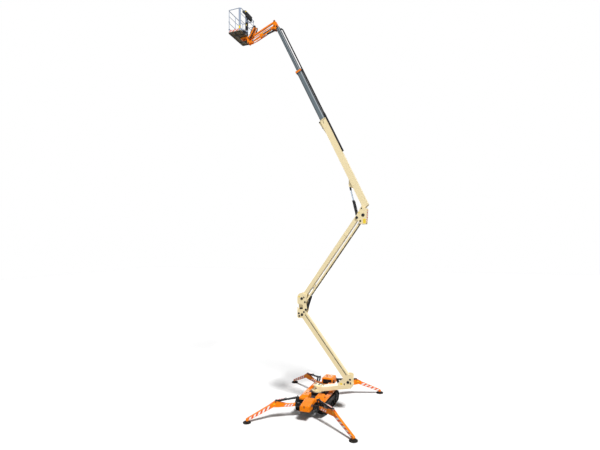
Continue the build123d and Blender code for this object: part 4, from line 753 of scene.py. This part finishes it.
dark, trim = Form(), Form()
for hand, name in ((-1, "hood_left"), (1, "hood_right")):
    hood_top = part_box(name)[1][2]
    for y, length in ((-0.62, 0.34), (0.70, 0.52)):
        face = Axes((hand * 0.523, y, HOOD_FACE), hand * Y, (hand * 0.14, 0, 0.18))
        dark.panel(face, length * 0.42, 0.070, 0.014, -0.004, 0.0015, 0.0006)
        for k in range(6):
            trim.block(face.at((k - 2.5) * length * 0.063, 0, 0.003), (0.008, 0.058, 0.004), 0.001)
        for share in (-0.46, 0.46):
            for b in (0.02, -0.04):
                dark.bolt(face.at(share * length, b, 0), 0.007)
    top = flat(hand * 0.30, 0, hood_top)
    for y in (-0.78, -0.44, 0.50, 0.82, 1.02):
        dark.strip(top.at(0, y, -0.001), (-0.115, 0), (0.115, 0), 0.004)
    for y in (-0.60, 0.66, 0.95):
        for dx in (-0.095, 0.095):
            trim.bolt(top.at(dx, y, -0.001), 0.009)
        dark.hose(top.at(0, y + 0.02, 0).place([(-0.05, 0, -0.004), (-0.05, 0, 0.018), (-0.035, 0, 0.026),
                                                (0.035, 0, 0.026), (0.05, 0, 0.018), (0.05, 0, -0.004)]), 0.005, Y)
    for y in (-0.22, 0.08, 0.38):
        trim.bolt(flat(hand * 0.50, y, 0.650), 0.010)
dark.piece("hood_seams", "chassis", "black_paint")
trim.piece("hood_trim", "chassis", "orange_paint")

low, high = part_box("engine_cover")
engine_y = (low[1] + high[1]) / 2
grille, trim = Form(), Form()
mouth = Axes((0, low[1] + 0.030, 0.710), X, -Y)
grille.panel(mouth, 0.42, 0.195, 0.02, -0.004, 0.0, 0.001)
for k in range(9):
    grille.block(mouth.at(0, -0.084 + 0.021 * k, 0.008), (0.40, 0.005, 0.014), 0.0015)
for k in range(5):
    grille.block(mouth.at(-0.16 + 0.08 * k, 0, 0.010), (0.006, 0.18, 0.016), 0.0015)
lid = flat(0, engine_y, high[2])
grille.panel(lid.at(-0.10, 0.02, 0), 0.11, 0.20, 0.03, -0.003, 0.0015, 0.0006)
grille.panel(lid.at(0.14, -0.10, 0), 0.06, 0.045, 0.012, -0.003, 0.0015, 0.0006)
for k in range(6):
    trim.block(lid.at(-0.10, -0.055 + 0.03 * k, 0.003), (0.095, 0.010, 0.004), 0.0012)
for hand in HANDS:
    for dy in (-0.2, 0.2):
        trim.bolt(Axes((hand * 0.285, engine_y + dy, 0.64), Y, hand * X), 0.009)
    flank = Axes((hand * 0.279, engine_y, 0.70), Y, hand * np.array([1.0, 0, 0.105]))
    grille.panel(flank, 0.30, 0.10, 0.02, -0.004, 0.0016, 0.0006)
    for k in range(8):
        trim.block(flank.at(-0.115 + 0.033 * k, 0, 0.003), (0.010, 0.085, 0.005), 0.0012)
    grille.block(Axes((hand * 0.25, low[1] - 0.002, 0.66), X, Y), (0.028, 0.05, 0.012), 0.002)
grille.piece("engine_grille", "chassis", "black_paint")
trim.piece("engine_louvres", "chassis", "orange_paint")
filler = Form().turned(lid.at(0.10, 0.10, 0), [(0.026, -0.002), (0.026, 0.002), (0.022, 0.004), (0.010, 0.004)], 24)
filler.piece("engine_cap", "chassis", "white_paint")
plumbing = Form()
for x, top in ((0.302, 0.80), (0.318, 0.75)):
    plumbing.hose([(x - 0.03, 1.40, 0.66), (x, 1.39, 0.68), (x + 0.004, 1.36, top), (x, 1.31, top - 0.01),
                   (x - 0.02, 1.27, 0.66), (x - 0.07, 1.26, 0.585)], 0.010)
plumbing.piece("engine_side_hoses", "chassis", "hose_rubber")

# raised lozenges, each a half right angle to one side or the other
LEAN = 0.785
DECK_PITCH_X, DECK_PITCH_Y, FLOOR_PITCH = 0.042, 0.036, 0.055
LOZENGE = np.array([(-0.014, 0), (0, -0.005), (0.014, 0), (0, 0.005)])
lozenge = Form().plate(flat(0, 0, 0), LOZENGE, -0.0005, 0.0018, 0.0006)


def grid(xs, ys, height):
    """Places at every pair of x and y, at one height."""
    x, y = np.meshgrid(xs, ys)
    return np.column_stack([x.ravel(), y.ravel(), np.full(x.size, height)])


deck_low, deck_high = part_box("deck")
rows = np.arange(deck_low[1] + 0.06, deck_high[1] - 0.04, DECK_PITCH_Y)
spots = grid(np.arange(-3, 4) * DECK_PITCH_X, rows, deck_high[2])
clear = (np.hypot(spots[:, 0], spots[:, 1]) > 0.36) & (spots[:, 1] < 1.26) & (spots[:, 1] > -1.22)
spots = spots[clear]
odd = (np.round(spots[:, 0] / DECK_PITCH_X) + np.round(spots[:, 1] / DECK_PITCH_Y)) % 2 > 0.5
Form().copies(lozenge, spots, spun(np.where(odd, LEAN, -LEAN))).piece("deck_tread", "chassis", "slate_deck")

# ---------------------------------------------------------------- turret: bolt rings, and openings whose dark insides are painted shade
hexagon = Form().bolt(flat(0, 0, 0), 0.0105)
slew_ring, turret_ring = (np.column_stack([radius * circle_points(even_angles(count)), np.full(count, height)])
                          for count, radius, height in ((24, 0.305, 0.745), (20, 0.240, 0.790)))
clear = (turret_ring[:, 0] < 0.19) | (np.abs(turret_ring[:, 1]) > 0.17)
Form().copies(hexagon, slew_ring).piece("slew_bolts", "chassis", "black_paint")
Form().copies(hexagon, turret_ring[clear]).piece("turret_bolts", "turret", "black_paint")
painted_shade_openings, lines = Form(), Form()
# black plates standing in as painted shade for the dark inside of the openings in the turret's top and sides
for x, half_length, radius in ((-0.085, 0.045, 0.028), (0.050, 0.050, 0.034)):
    painted_shade_openings.plate(flat(x, 0, 1.012), slot_outline(0, -half_length, radius, 32), -0.003, 0.003, 0.001)
for hand in HANDS:
    face = Axes((-0.03, hand * 0.187, 0.90), X, hand * Y)
    painted_shade_openings.plate(face, slot_outline(-0.02, 0, 0.022, 28), -0.004, 0.006, 0.001)
    lines.hose([(0.05, hand * 0.03, 1.005), (0.07, hand * 0.032, 1.05), (0.15, hand * 0.04, 1.07),
                (0.28, hand * 0.045, 1.012)], 0.010)
painted_shade_openings.piece("turret_painted_shade_openings", "turret", "black_paint")
lines.piece("turret_hoses", "turret", "hose_rubber")

# ---------------------------------------------------------------- risers: weld seams, pipes that double as painted shade, and end plates
for body, axes, name, from_foot, from_head in (("riser_1", riser_1, "riser1_beam", 0.30, 0.35),
                                               ("riser_2", riser_2, "riser2_beam", 0.35, 1.0)):
    low, high = axes.span(name)
    seams = Form()
    for hand in HANDS:
        for edge in (low[1] + 0.012, high[1] - 0.012):
            seams.strip(axes.face(0, 0, RISER_HALF, hand), (low[0] + from_foot, hand * edge),
                        (high[0] - from_head, hand * edge), 0.006, 0.0022)
    seams.piece(f"seams_{name}", body, "cream_paint")

# dark hoses in the gap between beam and link: real hoses that also stand in as painted shade, for the dark gap on riser
# 1 and the shaded lower edge of riser 2's link
for body, axes, name, facing, lift, spread, from_foot, from_head in (
        ("riser_1", riser_1, "riser1_beam", 1, 0.010, 0.097, 0.42, 0.36),
        ("riser_2_link", riser_2_link, "riser2_link", -1, 0.009, 0.0735, 0.40, 0.30)):
    low, high = axes.span(name)
    start, end = low[0] + from_foot, high[0] - from_head
    b = (high if facing > 0 else low)[1] + facing * lift
    dip = b - facing * 0.012
    pipes, clips = Form(), Form()
    for c in (-spread, spread):
        pipes.hose(axes.place([(start, dip, c), (start + 0.04, b, c), (end - 0.04, b, c), (end, dip, c)]), 0.0105,
                   samples=14)
        for a in np.arange(start + 0.25, end - 0.1, 0.60):
            clips.block(axes.at(a, b, c), (0.030, 0.025, 0.023), 0.003)
    pipes.piece(f"pipes_{name}", body, "hose_rubber")
    clips.piece(f"pipe_clips_{name}", body, "cream_paint")

for body, axes, name, from_head in (("riser_1", riser_1, "riser1_beam", 0.24),
                                    ("riser_2", riser_2, "riser2_beam", 0.98)):
    low, high = axes.span(name)
    ends = Form()
    for a in (low[0] + 0.24, high[0] - from_head):
        for hand in HANDS:
            face = axes.face(a, 0, RISER_HALF, hand)
            ends.panel(face, 0.10, (high[1] - low[1]) * 0.72, 0.018, -0.001, 0.0045, 0.0015)
            for da in (-0.032, 0.032):
                for db in (-0.05, 0.05):
                    ends.bolt(face.at(da, db, 0.0045), 0.007)
    ends.piece(f"end_plates_{name}", body, "cream_paint")

VALVE_Y = 0.078
valves, loops = Form(), Form()
for hand in HANDS:
    valves.block(Axes(middle_pin + (-0.06, hand * VALVE_Y, 0.262), X, Y), (0.13, 0.060, 0.050), 0.006)
    for dx in (-0.10, -0.06, -0.02):
        valves.turned(flat(*middle_pin + (dx, hand * VALVE_Y, 0.290)),
                      [(0.012, 0), (0.012, 0.016), (0.007, 0.020), (0.007, 0.030)], 16)
valves.piece("middle_valves", "middle_knuckle", "black_gloss")
for y in (-0.07, -0.02, 0.04):
    loops.hose(top_pin + [(0.30, y, -0.20), (0.36, y, -0.05), (0.375, y, 0.06), (0.34, y, 0.13)], 0.012)
loops.piece("upper_hoses", "top_knuckle", "hose_rubber")

# red and white plate on the upper knuckle's back, which leans a little
rise = np.array([0.045, 0, 0.575])
back = Axes(top_pin + (0.4315, 0, 0.05), rise, np.cross(Y, rise))
hazard = Form().panel(back, 0.50, 0.19, 0.012, -0.001, 0.0018, 0.0005)
hazard.piece("back_stripes", "top_knuckle", "back_stripes")

# ---------------------------------------------------------------- boom: mouth, rollers, collar, carrier
BASE_BOTTOM, BASE_TOP = 0.123, 0.399
mouth, rollers = Form(), Form()
for hand in HANDS:
    face = boom.face(4.69, BOOM_MIDDLE, RISER_HALF, hand)
    mouth.panel(face, 0.060, 0.276, 0.006, -0.001, 0.0045, 0.0015)
    for b in (-0.10, -0.035, 0.035, 0.10):
        rollers.bolt(face.at(0, b, 0.0045), 0.009)
    for a in (0.62, 1.35, 4.28):
        mouth.strip(boom.face(a, BOOM_MIDDLE, RISER_HALF, hand), (0, -0.135), (0, 0.135), 0.007, 0.0022)
    for b in (-0.131, 0.131):
        mouth.strip(boom.face(0, BOOM_MIDDLE + b, RISER_HALF, hand), (0.42, 0), (4.64, 0), 0.005, 0.0020)
    lug = boom.face(4.661, BASE_BOTTOM - 0.055, 0.070, hand)
    rollers.turned(lug, [(0.033, -0.002), (0.033, 0.006), (0.026, 0.010), (0.014, 0.011), (0.012, 0.018)], 28)
    rollers.turned(lug.at(-0.312, 0.014 * hand, 0), [(0.022, -0.002), (0.022, 0.005), (0.012, 0.009)], 24)
    rollers.panel(Axes(boom.place((4.58, 0.235, hand * 0.1105)), boom.heading(0.96, 0.28), hand * Y),
                  0.14, 0.018, 0.005, -0.001, 0.003, 0.001)
pad = Axes(boom.place((4.63, BASE_TOP + 0.0005, 0)), boom.along, boom.above)
for b in (-0.075, 0.075):
    rollers.panel(pad.at(0, b, 0), 0.09, 0.030, 0.004, -0.002, 0.006, 0.0015)
    rollers.bolt(pad.at(0, b, 0.006), 0.006)
mouth.piece("boom_seams", "boom", "cream_paint")
rollers.piece("boom_rollers", "boom", "black_gloss")

COLLAR = 7.345
collar, screws = Form(), Form()
for hand in HANDS:
    face = boom.face(COLLAR, 0.243, 0.124, hand)
    collar.panel(face, 0.085, 0.285, 0.006, -0.001, 0.0035, 0.001)
    for b in (-0.11, 0.0, 0.11):
        screws.bolt(face.at(0, b, 0.0035), 0.008)
collar.panel(Axes(boom.place((COLLAR, 0.1005, 0)), boom.along, -boom.above), 0.085, 0.235, 0.006, -0.001, 0.0035, 0.001)
collar.piece("collar_band", "section_2", "orange_paint")
screws.piece("collar_screws", "section_2", "black_gloss")

LINK_PITCH = 0.052
low, high = boom.span("cable_carrier")
links, tray_clips = Form(), Form()
count = int((high[0] - low[0] - 0.16) / LINK_PITCH)
for hand in HANDS:
    link = Form().block(Axes((0, 0, 0), boom.along, hand * Y), (0.040, 0.038, 0.004), 0.0012)
    links.copies(link, boom.place([(low[0] + 0.03 + k * LINK_PITCH, 0.430, hand * 0.0455) for k in range(count)]))
links.piece("carrier_links", "section_3", "hose_rubber")
low, high = boom.span("carrier_tray")
for a in np.arange(low[0] + 0.12, high[0] - 0.05, 0.30):
    for hand in HANDS:
        tray_clips.block(boom.at(a, 0.432, hand * (high[2] + 0.002)), (0.030, 0.062, 0.006), 0.002)
        tray_clips.bolt(boom.face(a, 0.412, high[2] + 0.005, hand), 0.006)
tray_clips.piece("tray_clips", "boom", "black_paint")

# ---------------------------------------------------------------- boom, riser and jib cylinders: bands and pipes
for name, radius, length, sides, pipe in (("boom", 0.055, 0.78, (-0.018, 0.018), 0.007), ("riser", 0.057, 0.64, (), 0),
                                          ("jib", 0.038, 0.44, (-0.018, 0.018), 0.005)):
    barrel = Axes(pivot(f"{name}_cylinder_turn"), joints[f"{name}_cylinder_stroke"]["axis"], Y)
    fittings = Form()
    for a in (0.10, length - 0.045):
        fittings.band(barrel.around(a), radius - 0.003, radius + 0.0035, 0.0, 0.032)
    for c in sides:
        run = [(0.14, -0.006), (0.145, 0.010), (0.19, 0.012), (length - 0.12, 0.012), (length - 0.07, 0.010),
               (length - 0.06, -0.004)]
        fittings.hose(barrel.place([(a, radius + out, c) for a, out in run]), pipe)
    fittings.piece(f"{name}_cylinder_fittings", f"{name}_cylinder_barrel", "black_gloss")

rod_end = Axes(boom.place((1.425, 0.020, 0)), Y, -np.array(joints["boom_cylinder_stroke"]["axis"]))
Form().band(rod_end, 0.026, 0.040, 0.055, 0.20).piece("boom_rod_sleeve", "boom_cylinder_rod", "black_gloss")

# ---------------------------------------------------------------- jib and support
bosses, bolts, hoses = Form(), Form(), Form()
for hand in HANDS:
    for a in (0.15, 1.34):
        bosses.turned(jib.face(a, 0, JIB_HALF, hand),
                      [(0.046, -0.001), (0.046, 0.003), (0.041, 0.005), (0.034, 0.005), (0.032, 0.001)], 28)
    for a, b, radius in ((0.72, -0.058, 0.009), (0.80, -0.058, 0.009), (0.22, -0.083, 0.005), (0.34, -0.083, 0.005),
                         (0.46, -0.083, 0.005), (0.58, -0.083, 0.005)):
        bolts.bolt(jib.face(a, b, JIB_HALF, hand), radius)
    for b in (0.026, 0.008, -0.010):
        c = hand * 0.0497
        run = [(0.13, b * 0.5, c), (0.20, b, c), (0.40, b - 0.004, c), (0.60, b, c), (0.66, b * 0.5, c)]
        hoses.hose(jib.place(run), 0.0068, samples=8)
bosses.piece("jib_bosses", "jib", "orange_paint")
bolts.piece("jib_bolts", "jib", "black_gloss")
hoses.piece("jib_hoses", "jib", "hose_rubber")

# each arm hose: x, its share of the bulge that keeps the hoses apart, and z
ARM_RUN = ((0.05, 1, 0.20), (0.13, 1, 0.30), (0.23, 1, 0.44), (0.325, 1, 0.60), (0.385, 0.3, 0.72), (0.345, 0, 0.775),
           (0.275, -0.4, 0.74), (0.185, -0.4, 0.60), (0.115, 0, 0.46))
jib_head = pivot("support_level")
fittings, hoses = Form(), Form()
for hand in HANDS:
    for x, z, radius in ((0.345, 0.750, 0.024), (0.250, 0.590, 0.016), (0.150, 0.430, 0.016)):
        fittings.turned(beside(jib_head + (x, 0, z), hand, JIB_CHEEK),
                        [(radius, -0.001), (radius, 0.006), (radius * 0.6, 0.009), (radius * 0.5, 0.014)], 24)
    fittings.block(Axes(jib_head + (0.345, hand * 0.104, 0.752), X, Y), (0.062, 0.062, 0.016), 0.005)
    for bulge, out in ((0.0, 0.108), (0.022, 0.118), (0.044, 0.108)):
        hoses.hose([jib_head + (x + share * bulge, hand * out, z) for x, share, z in ARM_RUN], 0.0115)
fittings.piece("arm_fittings", "support", "black_gloss")
hoses.piece("arm_hoses", "support", "hose_rubber")
low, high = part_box("rotator")
x, y, _ = (low + high) / 2
rotor = Form().turned(flat(x, y, low[2] + 0.03), [(0.0855, 0), (0.093, 0.004), (0.093, 0.026), (0.0855, 0.030)], 36)
rotor.bolts(flat(x, y, high[2] - 0.001), 10, 0.062, 0, 0.008)
rotor.piece("rotator_fittings", "support", "black_gloss")

# ---------------------------------------------------------------- basket
floor_low, floor_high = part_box("basket_floor")
floor_top = floor_high[2]
rail_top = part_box("basket_frame")[1][2]
mid_x = (floor_low[0] + floor_high[0]) / 2
under = Form()
for y in (-0.66, -0.34, 0.34, 0.66):
    under.block(Axes((mid_x, y, floor_low[2] - 0.010), X, Y), (0.62, 0.024, 0.035), 0.003)
for x in (floor_low[0] + 0.045, mid_x - 0.04):
    under.block(Axes((x, 0, floor_low[2] - 0.010), Y, X), (1.28, 0.024, 0.035), 0.003)
under.piece("floor_ribs", "basket", "black_paint", "floor_brown")
spots = grid(np.arange(floor_low[0] + 0.06, floor_high[0] - 0.05, FLOOR_PITCH), np.arange(-0.64, 0.65, FLOOR_PITCH),
             floor_top)
spots = spots[(spots[:, 0] < mid_x + 0.10) | (np.abs(spots[:, 1]) > 0.16)]
odd = np.arange(len(spots)) % 2 > 0
Form().copies(lozenge, spots, spun(np.where(odd, LEAN, -LEAN))).piece("floor_tread", "basket", "floor_brown")

TOE_X, TOE_Y, TOE_HEIGHT = 0.314, 0.6645, 0.055
boards = Form()
for hand in HANDS:
    face = Axes((mid_x, hand * TOE_Y, floor_top + TOE_HEIGHT), -hand * X, hand * Y)
    boards.label(face, 0.60, 0.100, 0.004, high=0.0015)
boards.piece("toe_stripes_ends", "basket", "toe_stripes")
long_board = Form().label(Axes((mid_x - TOE_X, 0, floor_top + TOE_HEIGHT), Y, -X), 1.30, 0.100, 0.004, high=0.0015)
long_board.piece("toe_stripes_side", "basket", "toe_stripes_long")

post_x, post_y, pillar_x = mid_x + 0.272, -0.673, mid_x + 0.28
console_low, console_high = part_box("control_console")
signs = Form()
signs.label(Axes((post_x, post_y - 0.018, floor_top + 0.155), X, -Y), 0.084, 0.150)
signs.label(Axes((post_x, post_y + 0.018, floor_top + 0.60), -X, Y), 0.070, 0.110)
for hand in HANDS:
    signs.label(Axes((pillar_x, hand * 0.049, floor_top + 0.56), -hand * X, hand * Y), 0.070, 0.080)
signs.label(Axes((console_low[0] + 0.20, console_low[1] - 0.0005, console_high[2] - 0.10), X, -Y), 0.060, 0.050)
signs.piece("basket_signs", "basket", "yellow_plate", "rail_aluminium")
cover = Form().block(flat(pillar_x, 0, floor_top + 0.50), (0.116, 0.098, 0.40), 0.006)
cover.piece("pillar_cover", "basket", "black_plastic")

lid = Axes((console_low[0] + 0.105, 0, console_high[2] - 0.022), Y, (0.28, 0, 0.96))
controls, stop, shell = Form(), Form(), Form()
for y in (-0.19, 0.0, 0.19):
    controls.turned(lid.at(y, -0.05, 0), [(0.026, -0.02), (0.026, 0.004), (0.018, 0.008), (0.007, 0.010),
                                          (0.007, 0.017), (0.013, 0.020), (0.014, 0.028), (0.008, 0.033)], 20)
for y in (-0.24, -0.13, -0.09, -0.05, 0.05, 0.09, 0.13, 0.24):
    controls.turned(lid.at(y, 0.020, 0), [(0.007, -0.02), (0.007, 0.003), (0.003, 0.005), (0.003, 0.012)], 12)
stop.turned(lid.at(-0.225, -0.03, 0),
            [(0.012, -0.02), (0.012, 0.009), (0.021, 0.011), (0.021, 0.018), (0.014, 0.022)], 20)
stop.turned(lid.at(0.245, -0.03, 0), [(0.008, -0.02), (0.008, 0.006), (0.005, 0.009)], 16)
controls.piece("console_controls", "basket", "black_plastic")
stop.piece("console_stop", "basket", "signal_red")
for y in (-0.272, -0.09, 0.09, 0.272):
    shell.block(Axes((console_high[0] - 0.012, y, console_low[2] + 0.14), Z, X), (0.17, 0.012, 0.012), 0.003)
for y in (-0.2, 0.2):
    x, z = console_high[0], console_low[2]
    shell.hose([(x - 0.03, y, z + 0.03), (x - 0.03, y * 0.9, z - 0.06), (x - 0.045, y * 0.5, z - 0.12),
                (pillar_x + 0.065, y * 0.15, z - 0.10)], 0.009)
shell.piece("console_ribs", "basket", "black_plastic")

low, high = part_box("basket_gate")
clamps = Form()
for z in (low[2] + 0.05, high[2] - 0.05):
    clamps.block(flat(low[0] + 0.0165, -0.62, z), (0.040, 0.034, 0.030), 0.004)
for y in (-0.45, 0.0, 0.45):
    clamps.turned(Axes((mid_x - 0.3284, y, rail_top - 0.018), X, Y),
                  [(0.0185, -0.012), (0.0215, -0.009), (0.0215, 0.009), (0.0185, 0.012)], 24)
# the post that the gate closes on has no lower clamp
for side_x, side_y, heights in ((-1, -1, (0.81,)), (-1, 1, (0.48, 0.81)), (1, -1, (0.48, 0.81)), (1, 1, (0.48, 0.81))):
    post = flat(mid_x + side_x * 0.3115, side_y * 0.6615, floor_top)
    clamps.turned(post, [(0.030, 0), (0.030, 0.008), (0.020, 0.012), (0.0155, 0.030)], 24)
    for height in heights:
        clamps.turned(post.at(0, 0, height), [(0.0155, -0.02), (0.0195, -0.016), (0.0195, 0.016), (0.0155, 0.02)], 20)
clamps.piece("rail_clamps", "basket", "rail_aluminium")
x = floor_high[0]
junction = Form().block(Axes((x + 0.02, -0.42, floor_top + 0.02), X, Y), (0.10, 0.13, 0.17), 0.012)
junction.bolt(Axes((x + 0.02, -0.505, floor_top + 0.05), X, -Y), 0.012)
junction.hose([(x + 0.02, -0.36, floor_top + 0.08), (x, -0.27, floor_top + 0.15), (x - 0.02, -0.15, floor_top + 0.24),
               (pillar_x + 0.02, -0.05, floor_top + 0.36)], 0.009)
junction.piece("junction_block", "basket", "black_plastic")

# ---------------------------------------------------------------- camera
CAMERA_AT = Vector((6.11, -17.54, 7.30))
LOOK = Vector((-0.3657, 0.9307, 0.0)).normalized()
PITCH, ROLL = math.radians(2.39), math.radians(-0.53)
UP = Vector((0, 0, 1))
camera_data = bpy.data.cameras.new("camera")
camera_data.sensor_width = 36.0
camera_data.lens = 24.786
camera_data.clip_end = 200.0
camera = bpy.data.objects.new("camera", camera_data)
bpy.context.scene.collection.objects.link(camera)
forward = (LOOK * math.cos(PITCH) + UP * math.sin(PITCH)).normalized()
side = forward.cross(UP).normalized()
above = side.cross(forward)
right = side * math.cos(ROLL) + above * math.sin(ROLL)
upward = above * math.cos(ROLL) - side * math.sin(ROLL)
turn = Matrix((right, upward, -forward)).transposed().to_4x4()
camera.matrix_world = Matrix.Translation(CAMERA_AT) @ turn
bpy.context.scene.camera = camera

# ---------------------------------------------------------------- floor and light
FLOOR_HALF = 80.0
FLOOR_SEEN, FLOOR_LIT = (0.97, 0.97, 0.97), (0.14, 0.13, 0.11)
AMBIENT = 0.07


def make_floor():
    """A plain pale floor: near white as seen, and a darker colour for the light that it sends back."""
    mesh = bpy.data.meshes.new("floor")
    corners = [(x * FLOOR_HALF, y * FLOOR_HALF, 0) for x, y in ((-1, -1), (1, -1), (1, 1), (-1, 1))]
    mesh.from_pydata(corners, [], [(0, 1, 2, 3)])
    floor = bpy.data.objects.new("floor", mesh)
    bpy.context.scene.collection.objects.link(floor)
    material = bpy.data.materials.new("floor")
    material.use_nodes = True
    tree = material.node_tree
    shader = tree.nodes["Principled BSDF"]
    diffuse = node(tree, "ShaderNodeLightPath").outputs["Is Diffuse Ray"]
    tree.links.new(mix(tree, diffuse, FLOOR_SEEN, FLOOR_LIT), shader.inputs["Base Color"])
    shader.inputs["Roughness"].default_value = 0.9
    mesh.materials.append(material)


def make_sky():
    """A white sky whose strength is 1 for what the camera sees, mirrored or not, and a low ambient for the rest."""
    world = bpy.data.worlds.new("studio")
    world.use_nodes = True
    bpy.context.scene.world = world
    sky = world.node_tree
    background = sky.nodes["Background"]
    rays = node(sky, "ShaderNodeLightPath").outputs
    seen = maths(sky, "MAXIMUM", rays["Is Camera Ray"], rays["Is Glossy Ray"])
    seen = maths(sky, "MAXIMUM", seen, rays["Is Transmission Ray"])
    strength = maths(sky, "ADD", maths(sky, "MULTIPLY", seen, 1.0 - AMBIENT), AMBIENT)
    sky.links.new(strength, background.inputs["Strength"])
    background.inputs["Color"].default_value = (1, 1, 1, 1)


def add_sun(name, direction, strength, angle):
    """A soft sun shining along a direction."""
    data = bpy.data.lights.new(name, "SUN")
    data.energy = strength
    data.angle = math.radians(angle)
    lamp = bpy.data.objects.new(name, data)
    lamp.rotation_euler = Vector(direction).to_track_quat("-Z", "Y").to_euler()
    bpy.context.scene.collection.objects.link(lamp)


make_floor()
make_sky()
add_sun("key", (-0.223, 0.212, -0.45), 3.7, 11.0)
add_sun("fill", (-0.2, 1.0, -0.02), 1.5, 36.0)
add_sun("rear", (0.35, -1.0, -0.02), 1.7, 36.0)
bpy.context.scene.view_settings.view_transform = "Standard"
